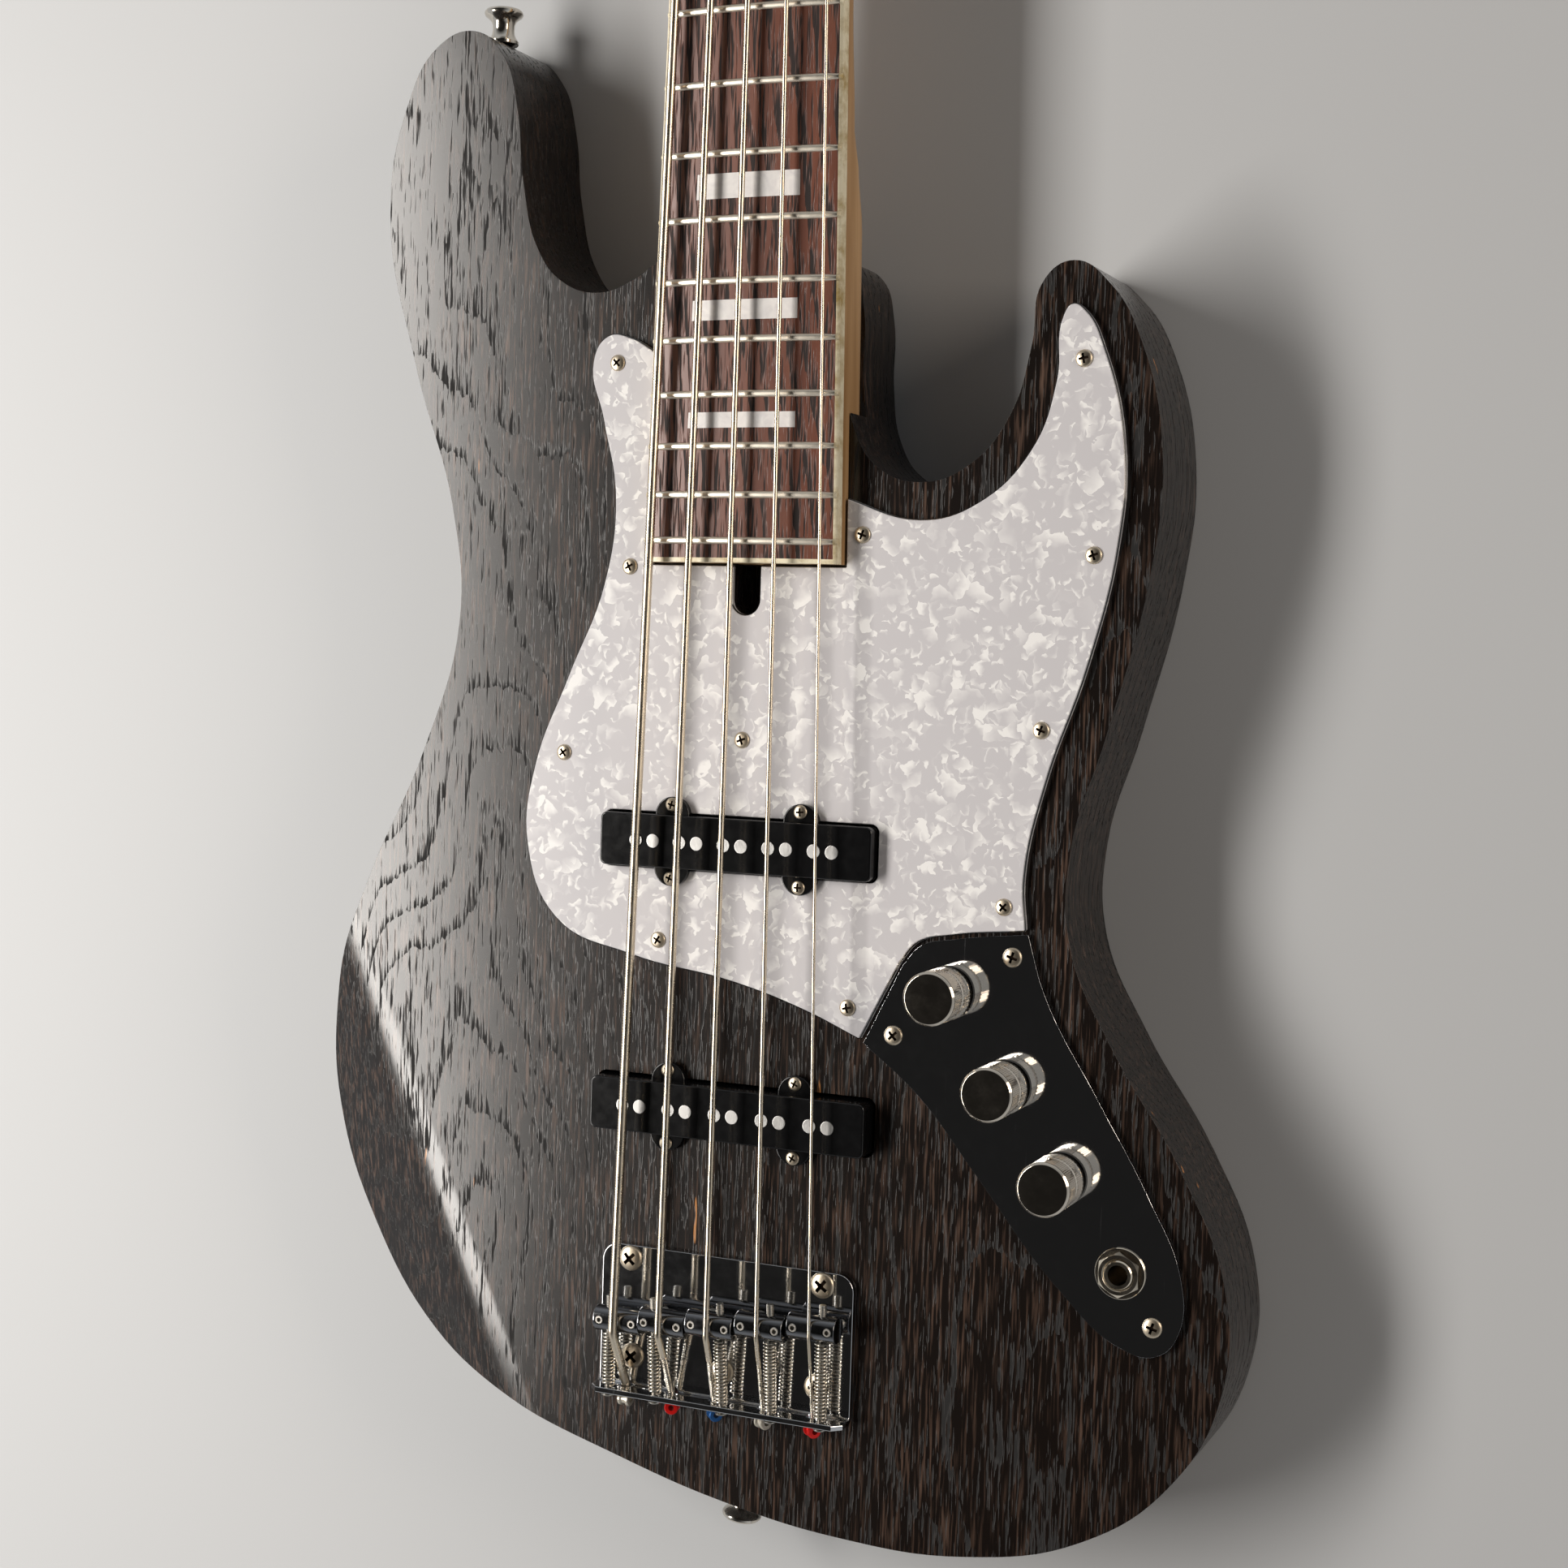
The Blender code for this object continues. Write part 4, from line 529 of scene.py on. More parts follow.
# Control plate: pressed steel, chromed to a mirror, with faint rubbing marks from a cloth. It is
# drilled for three controls and the output socket, and three screws hold it over the cavity.
panel_low, panel_top = front + 0.1, front + 1.9
panel_outline = (
    (47.6, 91.6, 1), (60.6, 118.6, 1), (66.6, 125.4), (78.0, 128.4), (103.2, 131.8, 1),
    (110.0, 111.5), (128.5, 80.5), (146.0, 51.5), (157.4, 27.0), (157.4, 9.0),
    (150.5, 1.0), (139.0, 2.0), (118.0, 18.0), (88.0, 52.5), (68.0, 75.5),
)
panel = plate("panel", panel_outline, panel_low, panel_top, 10)
jack_x, jack_y = 138.0, 26.2
knob_centres = ((76.5, 110.8), (96.9, 81.9), (116.7, 53.9))
carve(panel, peg((jack_x, jack_y, cut_low), (jack_x, jack_y, cut_high), 5.0, 48))
for x, y in knob_centres:
    carve(panel, peg((x, y, cut_low), (x, y, cut_high), 3.8, 32))
soften(panel, 0.5, 3, 40.0)


def plated(name, tint, roughness, wear=0.0, brush=0.0, scratches=0.0):
    """Bright plating. Wear is a faint cloud of handling marks in the gloss, brush a fine bump of the
    metal under the plating, and scratches are hair lines left by a cloth, drawn 0.6 mm apart and so
    coarser than real ones, so that they show."""
    metal, place = new_material(name)
    smear = add(metal, "ShaderNodeTexNoise", {}, {"Vector": place, "Scale": 160.0, "Detail": 6.0,
                                                  "Roughness": 0.7})
    gloss = add(metal, "ShaderNodeMapRange", {}, {
        "Value": smear.outputs["Fac"], "From Min": 0.35, "From Max": 0.75, "To Min": roughness,
        "To Max": roughness + wear})
    level = gloss.outputs[0]
    if scratches:
        drawn = add(metal, "ShaderNodeMapping", {}, {
            "Vector": place, "Rotation": (0.0, 0.0, 0.9), "Scale": (1700.0, 30.0, 400.0)})
        lines = add(metal, "ShaderNodeTexNoise", {}, {
            "Vector": drawn.outputs[0], "Scale": 1.0, "Distortion": 0.6})
        hairs = add(metal, "ShaderNodeMapRange", {}, {
            "Value": lines.outputs["Fac"], "From Min": 0.70, "From Max": 0.78, "To Min": 0.0,
            "To Max": scratches})
        level = add(metal, "ShaderNodeMath", {"operation": "ADD"}, {0: level, 1: hairs.outputs[0]}).outputs[0]
    join_nodes(metal, metal.node_tree.nodes["Principled BSDF"], {
        "Base Color": colour(tint), "Metallic": 1.0, "Roughness": level})
    if brush:
        grit = add(metal, "ShaderNodeTexNoise", {}, {"Vector": place, "Scale": 1400.0})
        relief = add(metal, "ShaderNodeBump", {}, {
            "Strength": brush, "Distance": 0.0001, "Height": grit.outputs["Fac"]})
        join_nodes(metal, metal.node_tree.nodes["Principled BSDF"], {"Normal": relief.outputs[0]})
    return metal


# Buffed chrome on pressed steel: a near mirror, with hair lines that catch the lamp.
mirror_chrome = plated("mirror_chrome", "#cfd1d4", 0.04, 0.05, scratches=0.1)
finish(panel, "control_panel", mirror_chrome, stands_for=("control_plate",), smooth=30.0)


# Fretboard: rosewood, cambered across, with twenty-one nickel silver frets pressed into sawn slots
# and pearl blocks let in flush. The frets stop short of the binding, as on any bound board.
scale_length = 863.6
board_top = front + 11.2
glue_plane = front + 5.0
camber = 254.0
camber_axis_z = board_top - camber
binding_width = 1.5
board_half_end, board_half_nut = 35.4, 23.4


def fret_y(number):
    """A fret's place along the scale, which each one shortens by a twelfth root of two."""
    return scale_length * 2 ** (-number / 12)


def board_half(y):
    """Half the fretboard's width at a place along it."""
    share = (y - board_end) / (scale_length - board_end)
    return board_half_end + share * (board_half_nut - board_half_end)


def camber_z(x):
    """The height of the fretboard's top at a place across it."""
    return board_top - camber + math.sqrt(camber ** 2 - x ** 2)


def board_shape(name, inset, start_y, end_y, low, crown=0.0):
    """A tapered piece of the board's plan whose top is cut to the camber."""
    near, far = board_half(start_y) - inset, board_half(end_y) - inset
    piece = plate(name, ((-near, start_y, 1), (near, start_y, 1), (far, end_y, 1), (-far, end_y, 1)),
                  low, board_top + 9.0, 1)
    round_top = peg((0.0, start_y - 50.0, camber_axis_z), (0.0, end_y + 50.0, camber_axis_z), camber + crown,
                    720)
    return carve(piece, round_top, "INTERSECT")


def tube(name, points, radius, sides=4, shares=None):
    """A round bar along points in millimetres. shares scales its radius point by point."""
    curve = bpy.data.curves.new(name, "CURVE")
    curve.dimensions = "3D"
    curve.bevel_depth = radius * mm
    curve.bevel_resolution = sides
    curve.use_fill_caps = True
    spline = curve.splines.new("POLY")
    spline.points.add(len(points) - 1)
    for number, (knot, point) in enumerate(zip(spline.points, points)):
        knot.co = (*(Vector(point) * mm), 1.0)
        if shares:
            knot.radius = shares[number]
    only(linked(name, curve))
    bpy.ops.object.convert(target="MESH")
    return face_out(bpy.context.object, 1e-7)


def grained_wood(name, dark, light, pore, ring_width):
    """Open-pored wood with its grain along Y. Growth rings are bands that a slow noise bends into
    arches, and pores are short dark dashes that crowd into the early wood of each ring. They are
    drawn 0.8 mm wide, some four times as wide as real ones, so that they show."""
    wood, place = new_material(name)
    slow = add(wood, "ShaderNodeMapping", {}, {"Vector": place, "Scale": (7.0, 1.7, 7.0)})
    warp = add(wood, "ShaderNodeTexNoise", {}, {"Vector": slow.outputs[0], "Scale": 1.0, "Detail": 2.0,
                                                "Roughness": 0.45})
    axis = add(wood, "ShaderNodeSeparateXYZ", {}, {0: place})
    across = add(wood, "ShaderNodeMath", {"operation": "MULTIPLY_ADD"}, {
        0: axis.outputs["Z"], 1: 0.7, 2: axis.outputs["X"]})
    bent = add(wood, "ShaderNodeMath", {"operation": "MULTIPLY_ADD"}, {
        0: warp.outputs["Fac"], 1: 0.17, 2: across.outputs[0]})
    ragged_map = add(wood, "ShaderNodeMapping", {}, {"Vector": place, "Scale": (520.0, 42.0, 520.0)})
    ragged = add(wood, "ShaderNodeTexNoise", {}, {
        "Vector": ragged_map.outputs[0], "Scale": 1.0, "Detail": 2.0})
    jagged = add(wood, "ShaderNodeMath", {"operation": "MULTIPLY_ADD"}, {
        0: ragged.outputs["Fac"], 1: ring_width * 0.45 * mm, 2: bent.outputs[0]})
    count = add(wood, "ShaderNodeMath", {"operation": "DIVIDE"}, {0: jagged.outputs[0], 1: ring_width * mm})
    ring = add(wood, "ShaderNodeMath", {"operation": "FRACT"}, {0: count.outputs[0]})
    early = add(wood, "ShaderNodeMapRange", {}, {"Value": ring.outputs[0], "From Min": 0.15, "From Max": 0.75,
                                                 "To Min": 1.0, "To Max": 0.0})
    pore_map = add(wood, "ShaderNodeMapping", {}, {"Vector": place, "Scale": (1250.0, 70.0, 1250.0)})
    pore_noise = add(wood, "ShaderNodeTexNoise", {}, {
        "Vector": pore_map.outputs[0], "Scale": 1.0, "Detail": 1.5, "Roughness": 0.6})
    crowd = add(wood, "ShaderNodeMath", {"operation": "MULTIPLY_ADD"}, {
        0: early.outputs[0], 1: 0.17, 2: pore_noise.outputs["Fac"]})
    pores = add(wood, "ShaderNodeMapRange", {}, {
        "Value": crowd.outputs[0], "From Min": 0.56, "From Max": 0.68})
    fleck_map = add(wood, "ShaderNodeMapping", {}, {"Vector": place, "Scale": (260.0, 14.0, 260.0)})
    fleck = add(wood, "ShaderNodeTexNoise", {}, {"Vector": fleck_map.outputs[0], "Scale": 1.0, "Detail": 3.0})
    body_tone = add(wood, "ShaderNodeMix", {"data_type": "RGBA"}, {
        0: fleck.outputs["Fac"], 6: colour(dark), 7: colour(light)})
    stained = add(wood, "ShaderNodeMix", {"data_type": "RGBA"}, {
        0: pores.outputs[0], 6: body_tone.outputs[2], 7: colour(pore)})
    rough = add(wood, "ShaderNodeMapRange", {}, {"Value": pores.outputs[0], "To Min": 0.34, "To Max": 0.75})
    relief = add(wood, "ShaderNodeBump", {"invert": True}, {
        "Strength": 0.55, "Distance": 0.00025, "Height": pores.outputs[0]})
    join_nodes(wood, wood.node_tree.nodes["Principled BSDF"], {
        "Base Color": stained.outputs[2], "Roughness": rough.outputs[0], "Normal": relief.outputs[0]})
    return wood


# Oiled rosewood: red-brown with darker streaks and a low sheen, and open pores that stay matt.
rosewood = grained_wood("oiled_rosewood", "#4a2a21", "#7d4d3c", "#1c0e09", 6.0)
board = board_shape("board", binding_width, board_end + binding_width, scale_length, glue_plane + 0.05)
finish(board, "rosewood_board", rosewood, stands_for=("fretboard",), smooth=20.0)

# Nickel silver fret wire, worn by the strings: a warm white shine, soft along its length.
nickel_silver = plated("nickel_silver", "#efe6d6", 0.33, 0.12)
frets = []
for number in range(1, 22):
    half = board_half(fret_y(number)) - binding_width - 0.1
    arc = []
    for k in range(17):
        x = -half + 2 * half * k / 16
        arc.append((x, fret_y(number), camber_z(x) - 0.35))
    shares = [0.75] + [1.0] * 15 + [0.75]
    frets.append(tube(f"fret_{number}", arc, 1.35, 4, shares))
finish(merge(frets), "frets", nickel_silver, smooth=40.0)

# Pearl blocks: milky white with slow clouds in it, polished level with the board.
shell, shell_place = new_material("pearl_blocks")
shell_waves = add(shell, "ShaderNodeTexNoise", {}, {"Vector": shell_place, "Scale": 160.0,
                                                    "Detail": 2.0, "Distortion": 1.5})
shell_tone = add(shell, "ShaderNodeMix", {"data_type": "RGBA"}, {
    0: shell_waves.outputs["Fac"], 6: colour("#c3bfc0"), 7: colour("#f1eee9")})
join_nodes(shell, shell.node_tree.nodes["Principled BSDF"], {
    "Base Color": shell_tone.outputs[2], "Roughness": 0.22})
blocks = []
for number in (1, 3, 5, 7, 9, 12, 15, 17, 19):
    upper, lower = fret_y(number - 1), fret_y(number)
    half_height = (0.7 * (upper - lower) - 6.8) / 2
    block_y = (upper + lower) / 2
    inset = board_half(block_y) * (1 - 0.566)
    blocks.append(board_shape(f"block_{number}", inset, block_y - half_height, block_y + half_height,
                              board_top - 4.0, 0.06))
finish(merge(blocks), "pearl_inlays", shell, smooth=20.0)

# Binding: a strip of cream celluloid round the board's sides and end, gone amber with handling. A
# nib of it is left standing at each end of every fret.
binding = board_shape("binding", 0.0, board_end, scale_length, glue_plane + 0.05, 0.02)
carve(binding, plate("binding_inner", (
    (-board_half(board_end) + binding_width, board_end + binding_width, 1),
    (board_half(board_end) - binding_width, board_end + binding_width, 1),
    (board_half(scale_length) - binding_width, scale_length + 3.0, 1),
    (-board_half(scale_length) + binding_width, scale_length + 3.0, 1)), 30.0, 80.0, 1))
nibs = [binding]
for number in range(1, 22):
    for side in (-1, 1):
        y = fret_y(number)
        outer, inner = board_half(y) - 0.15, board_half(y) - binding_width + 0.05
        nibs.append(tube("nib",
                         [(side * outer, y, camber_z(outer) - 0.35),
                          (side * inner, y, camber_z(inner) - 0.35)], 1.3, 3, [0.8, 1.0]))
# Aged celluloid: cream that has gone amber in soft patches, with a low polish.
celluloid, celluloid_place = new_material("aged_celluloid")
grime = add(celluloid, "ShaderNodeTexNoise", {}, {"Vector": celluloid_place, "Scale": 110.0,
                                                  "Detail": 5.0, "Roughness": 0.65})
grime_share = add(celluloid, "ShaderNodeMapRange", {}, {"Value": grime.outputs["Fac"], "From Min": 0.42,
                                                        "From Max": 0.68})
celluloid_tone = add(celluloid, "ShaderNodeMix", {"data_type": "RGBA"}, {
    0: grime_share.outputs[0], 6: colour("#e6dcc0"), 7: colour("#a98f58")})
join_nodes(celluloid, celluloid.node_tree.nodes["Principled BSDF"], {
    "Base Color": celluloid_tone.outputs[2], "Roughness": 0.38})
finish(merge(nibs), "binding_strip", celluloid, stands_for=("fretboard_binding",),
       smooth=30.0)

# Nut: bone, sawn with one slot for each string and rounded over its back edge. It is glued between
# the end of the fretboard and the step of the headstock.
string_names = ("b", "e", "a", "d", "g")
string_diameters = (3.3, 2.6, 2.1, 1.6, 1.1)
nut_length = 4.0
bridge_pitch, nut_pitch = 18.1, 9.15
bridge_action, nut_action, fret_crown = 3.4, 0.5, 1.0


def string_x(index, y):
    """How far a string lies from the middle one, on its way from saddle to nut."""
    return (index - 2) * (bridge_pitch + (nut_pitch - bridge_pitch) * y / scale_length)


def string_bottom(index, y):
    """The height of a string's underside, over frets that follow the camber."""
    crown = board_top + fret_crown - (camber - math.sqrt(camber ** 2 - string_x(index, y) ** 2))
    return crown + bridge_action + (nut_action - bridge_action) * y / scale_length


nut = board_shape("nut", 0.0, scale_length + 0.1, scale_length + nut_length, glue_plane + 0.05, 2.6)
soften(nut, 0.6, 3, 40.0)
for index in range(5):
    x = string_x(index, scale_length)
    radius = string_diameters[index] / 2 + 0.1
    z = string_bottom(index, scale_length) + string_diameters[index] / 2
    carve(nut, peg((x, scale_length - 9.0, z), (x, scale_length + 13.0, z), radius, 24))
    carve(nut, solid((x - radius, scale_length - 9.0, z), (x + radius, scale_length + 13.0, z + 9.0)))
# Polished bone: pale cream with faint clouds, more waxy than glossy.
bone, bone_place = new_material("polished_bone")
bone_clouds = add(bone, "ShaderNodeTexNoise", {}, {"Vector": bone_place, "Scale": 220.0})
bone_tone = add(bone, "ShaderNodeMix", {"data_type": "RGBA"}, {
    0: bone_clouds.outputs["Fac"], 6: colour("#d9cfb4"), 7: colour("#f0e8d2")})
join_nodes(bone, bone.node_tree.nodes["Principled BSDF"], {
    "Base Color": bone_tone.outputs[2], "Roughness": 0.35})
finish(nut, "bone_nut", bone, stands_for=("nut",), smooth=30.0)


# Neck and headstock: one piece of hard maple under an amber satin lacquer. The shaft is an oval at
# the nut and squares up into the heel.
heel_end = 361.0
twelfth_y = fret_y(12)
neck_stations = (
    (board_end, 19.2, 9.0), (heel_end, 19.2, 9.0), (heel_end + 16.0, 18.6, 5.5), (heel_end + 32.0, 18.0, 3.2),
    (twelfth_y, 16.8, 2.5), ((twelfth_y + scale_length) / 2, 15.55, 2.3), (scale_length - 30.0, 14.3, 2.3),
    (scale_length + 6.0, 14.3, 2.4), (scale_length + 20.0, 16.5, 4.0),
)


def station_at(y):
    """Depth and fullness of the neck's section at a place, eased between the stations."""
    for near, far in zip(neck_stations, neck_stations[1:]):
        if y <= far[0]:
            share = (y - near[0]) / (far[0] - near[0])
            share = share * share * (3 - 2 * share)
            return near[1] + share * (far[1] - near[1]), near[2] + share * (far[2] - near[2])
    return neck_stations[-1][1:]


ring_points = 32
ring_count = 120
verts, faces = [], []
for row in range(ring_count + 1):
    y = board_end + (scale_length + 20.0 - board_end) * row / ring_count
    depth, fullness = station_at(y)
    half = board_half(y)
    for k in range(ring_points + 1):
        turn = math.pi * k / ring_points
        x = half * math.copysign(abs(math.cos(turn)) ** (2 / fullness), math.cos(turn))
        verts.append(Vector((x, y, glue_plane - depth * math.sin(turn) ** (2 / fullness))) * mm)
width = ring_points + 1
for row in range(ring_count):
    for k in range(ring_points):
        faces.append((row * width + k, row * width + k + 1, (row + 1) * width + k + 1, (row + 1) * width + k))
    faces.append((row * width + ring_points, row * width, (row + 1) * width, (row + 1) * width + ring_points))
faces.append(list(range(width)))
faces.append(list(range(ring_count * width, (ring_count + 1) * width)))
shaft = face_out(meshed("neck_shaft", verts, [], faces), 1e-7)
head_top = front + 2.0
head_back = head_top - 14.3
head_start = scale_length + nut_length
carve(shaft, solid((-60.0, head_start, head_top), (60.0, head_start + 60.0, head_top + 30.0)))
head_half_outline = [(21.9, head_start - 1.0, 1), (26.4, head_start + 10.0), (42.0, head_start + 28.0),
                     (45.0, head_start + 44.0), (42.5, head_start + 88.0), (39.0, head_start + 132.0),
                     (32.0, head_start + 158.0), (16.0, head_start + 173.0)]
head_outline = head_half_outline + [(0.0, head_start + 178.0)] + [(-point[0],) + tuple(point[1:])
                                                                  for point in reversed(head_half_outline)]
head = plate("head", head_outline, head_back, head_top, 8)
soften(head, 1.6, 4, 40.0)
carve(shaft, head, "UNION")
post_x = {"b": -29.0, "e": -26.5, "a": -24.0, "d": 26.5, "g": 29.0}
post_y = {"b": 906.0, "e": 951.0, "a": 996.0, "d": 951.0, "g": 906.0}
for name in string_names:
    carve(shaft, peg((post_x[name], post_y[name], 0.0), (post_x[name], post_y[name], 70.0), 6.5, 40))
rod_z = glue_plane - 5.3
carve(shaft, peg((0.0, board_end - 5.0, rod_z), (0.0, board_end + 14.8, rod_z), 4.6, 32))
carve(shaft, solid((-3.3, board_end - 5.0, rod_z - 3.3), (3.3, scale_length - 7.7, glue_plane + 5.0)))
for x, y in bolt_spots:
    carve(shaft, peg((x, y, pocket_floor - 5.0), (x, y, pocket_floor + 17.0), bolt_hole, 24))

# Maple under amber lacquer: straight honey-coloured lines below a thin satin coat.
maple, maple_place = new_material("amber_lacquered_maple")
maple_map = add(maple, "ShaderNodeMapping", {}, {"Vector": maple_place, "Scale": (140.0, 6.0, 140.0)})
maple_lines = add(maple, "ShaderNodeTexNoise", {}, {
    "Vector": maple_map.outputs[0], "Scale": 1.0, "Detail": 4.0, "Distortion": 0.4})
maple_tone = add(maple, "ShaderNodeValToRGB", {}, {0: maple_lines.outputs["Fac"]})
maple_tone.color_ramp.elements[0].position = 0.35
maple_tone.color_ramp.elements[0].color = colour("#9c7448")
maple_tone.color_ramp.elements[1].position = 0.7
maple_tone.color_ramp.elements[1].color = colour("#c9a377")
join_nodes(maple, maple.node_tree.nodes["Principled BSDF"], {
    "Base Color": maple_tone.outputs["Color"], "Roughness": 0.32, "Coat Weight": 0.25,
    "Coat Roughness": 0.25})
finish(shaft, "maple_neck", maple, stands_for=("neck",), smooth=35.0)


# Truss rod: a steel bar in its channel under the fretboard, with a hexagon nut in the slot at the
# board's end. Its CAD solid stays, in its own steel.
# Blackened steel: dull dark grey, as a bar that is heated and oiled.
black_steel = plated("blackened_steel", "#6b6a68", 0.4, 0.2)
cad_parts["truss_rod"].data.materials.clear()
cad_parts["truss_rod"].data.materials.append(black_steel)


# Pickups: gloss black moulded covers with four round ears, over a black former that holds ten
# ground steel poles, two for each string. One sits in the pickguard and one on the wood.
# ABS moulded in a polished tool: deep black and glossy, with slight scuffs in its shine.
gloss_black, black_place = new_material("moulded_abs")
scuffs = add(gloss_black, "ShaderNodeTexNoise", {}, {"Vector": black_place, "Scale": 300.0,
                                                     "Detail": 5.0})
scuff_gloss = add(gloss_black, "ShaderNodeMapRange", {}, {
    "Value": scuffs.outputs["Fac"], "To Min": 0.1, "To Max": 0.2})
join_nodes(gloss_black, gloss_black.node_tree.nodes["Principled BSDF"], {
    "Base Color": colour("#0c0c0d"), "Roughness": scuff_gloss.outputs[0]})
# Ground steel: grey, with the grit of the wheel in its shine. Nickelled screws: warm silver, a little
# dull from handling. A screw's recess is coloured matt and nearly black.
ground_steel = plated("ground_steel", "#a9a8a6", 0.32, 0.15, 0.3)
nickel_screw = plated("nickel_screw", "#cdbfa9", 0.3, 0.15)
recess_darkening = plated("nearly_black_recess", "#2c221b", 0.6, 0.2)


def turned(name, profile, at=(0.0, 0.0, 0.0), axis=(0.0, 0.0, 1.0), sides=48):
    """A turned solid. Its profile is (radius, height) pairs, and its axis passes through a point."""
    steps = [(k, k + 1) for k in range(len(profile) - 1)]
    piece = meshed(name, [(r * mm, 0.0, z * mm) for r, z in profile], steps, [])
    lathe = piece.modifiers.new("lathe", "SCREW")
    lathe.steps = lathe.render_steps = sides
    lathe.use_merge_vertices = True
    lathe.merge_threshold = 1e-6
    only(piece)
    bpy.ops.object.modifier_apply(modifier="lathe")
    face_out(piece, 1e-6)
    facing = Vector(axis).to_track_quat("Z", "Y").to_matrix().to_4x4()
    piece.data.transform(Matrix.Translation(Vector(at) * mm) @ facing)
    return piece


def cross_head(radius):
    """A domed screw head with a cross recess, its underside at the origin, to be copied."""
    dome = [(0.0, radius * 0.44)]
    for k in range(1, 9):
        turn = math.pi / 2 * k / 8
        dome.append((radius * math.sin(turn), radius * (0.1 + 0.34 * math.cos(turn))))
    head = turned("head", dome + [(radius, 0.0), (0.0, 0.0)], sides=32)
    for k in range(2):
        arm = solid((-radius * 0.58, -radius * 0.14, radius * 0.08),
                    (radius * 0.58, radius * 0.14, radius * 1.2))
        arm.rotation_euler.z = k * math.pi / 2
        bpy.ops.object.transform_apply(location=True, rotation=True, scale=True)
        carve(head, arm)
    return carve(head,
                 peg((0.0, 0.0, radius * 0.06), (0.0, 0.0, radius * 0.8), radius * 0.14, 12, radius * 0.34))


up, down = (0.0, 0.0, 1.0), (0.0, 0.0, -1.0)


def copied(model, spot, normal, turn):
    """A copy of a model with its own mesh, stood on a point along a normal."""
    piece = linked(model.name, model.data.copy())
    facing = Vector(normal).to_track_quat("Z", "Y").to_matrix().to_4x4()
    piece.data.transform(Matrix.Translation(Vector(spot) * mm) @ facing @ Matrix.Rotation(turn, 4, "Z"))
    return piece


def screw_heads(radius, places):
    """Like screw heads, each at a spot, along a normal and turned by an angle."""
    model = cross_head(radius)
    made = [copied(model, spot, normal, turn) for spot, normal, turn in places]
    bpy.data.objects.remove(model, do_unlink=True)
    return made


def screwed(name, radius, spots, low):
    """One piece for a set of like screws in the front, each turned its own way."""
    heads = screw_heads(radius, [((x, y, low), up, x * 0.7 + y) for x, y in spots])
    piece = finish(merge(heads), name, nickel_screw, smooth=35.0)
    piece.data.materials.append(recess_darkening)
    # The walls and floor of each cross recess take the second material, which is matt and nearly black.
    for face in piece.data.polygons:
        near = min((face.center.xy - Vector(spot) * mm).length for spot in spots)
        if near < 0.62 * radius * mm and (face.normal.z < 0.8 or face.center.z < (low + 0.2 * radius) * mm):
            face.material_index = 1
    return piece


for prefix, y, half, top, seat in (("neck", neck_pickup_y, neck_pickup_half, front + 7.3, guard_top + 0.1),
                                   ("bridge", bridge_pickup_y, bridge_pickup_half, front + 8.0, front + 0.1)):
    low = front - 16.0
    cover = plate(prefix, rounded_rectangle(half, pickup_half_width, 2.2, 0.0, y), low, top, 1)
    soften(cover, 0.7, 3, 60.0)
    for side in (-1, 1):
        ear = plate("ear", rounded_rectangle(6.4, pickup_half_width + 6.2, 6.3, side * 23.8, y, 10),
                    seat, seat + 2.6, 1)
        soften(ear, 0.5, 3, 60.0)
        carve(cover, ear, "UNION")
    carve(cover, plate("hollow", rounded_rectangle(half - 1.3, pickup_half_width - 1.3, 0.9, 0.0, y, 3),
                       low - 5.0, top - 1.3, 1))
    former = plate("former", rounded_rectangle(half - 2.2, pickup_half_width - 2.2, 0.9, 0.0, y, 3),
                   low - 3.0, top - 1.9, 1)
    poles = []
    for index in range(5):
        for side in (-1, 1):
            x = string_x(index, y) + side * 3.25
            carve(cover, peg((x, y, low), (x, y, top + 5.0), 2.55, 32))
            carve(former, peg((x, y, low - 9.0), (x, y, top + 5.0), 2.45, 32))
            poles.append(soften(peg((x, y, low), (x, y, top + 0.3), 2.4, 32), 0.2, 2))
    finish(cover, prefix + "_cover", gloss_black, stands_for=(prefix + "_pickup_cover",),
           smooth=30.0)
    finish(merge(poles), prefix + "_poles", ground_steel,
           stands_for=(prefix + "_pickup_coil",))
    finish(former, prefix + "_former", gloss_black)
    ear_spots = [(side * 23.8, y + far * 12.6) for side in (-1, 1) for far in (-1, 1)]
    screwed(prefix + "_ear_screws", 2.4, ear_spots, seat + 2.5)

# Screws: small domed ones of nickelled steel round the pickguard and larger ones in the control
# plate, each with a cross recess coloured matt and nearly black.
guard_screws = ((-50.8, 317.5), (-43.9, 248.0), (-67.6, 183.1), (0.3, 190.2), (-29.0, 120.3), (41.8, 102.9),
                (94.9, 140.2), (105.3, 197.7), (120.5, 253.7), (114.9, 315.6), (41.7, 259.5))
screwed("guard_screws", 2.8, guard_screws, guard_top - 0.1)
panel_screws = ((98.3, 124.1), (58.2, 95.1), (149.0, 10.1))
screwed("panel_screws", 3.25, panel_screws, panel_top - 0.1)


# Bridge: a bent and chromed steel plate on five round-head screws. Five barrel saddles slide on long
# screws through its rear wall, each pushed forward by a spring and stood on two grub screws.
def threaded(name, start, end, radius, pitch, depth):
    """A round bar whose side is cut with fine grooves, as a screw thread looks at this size."""
    start, end = Vector(start), Vector(end)
    length = (end - start).length
    count = int(length / pitch)
    profile = [(0.0, 0.0), (radius - depth, 0.0)]
    for k in range(count):
        profile += [(radius, (k + 0.5) * pitch), (radius - depth, (k + 1) * pitch)]
    profile += [(radius - depth, length), (0.0, length)]
    return turned(name, profile, start, end - start, 20)


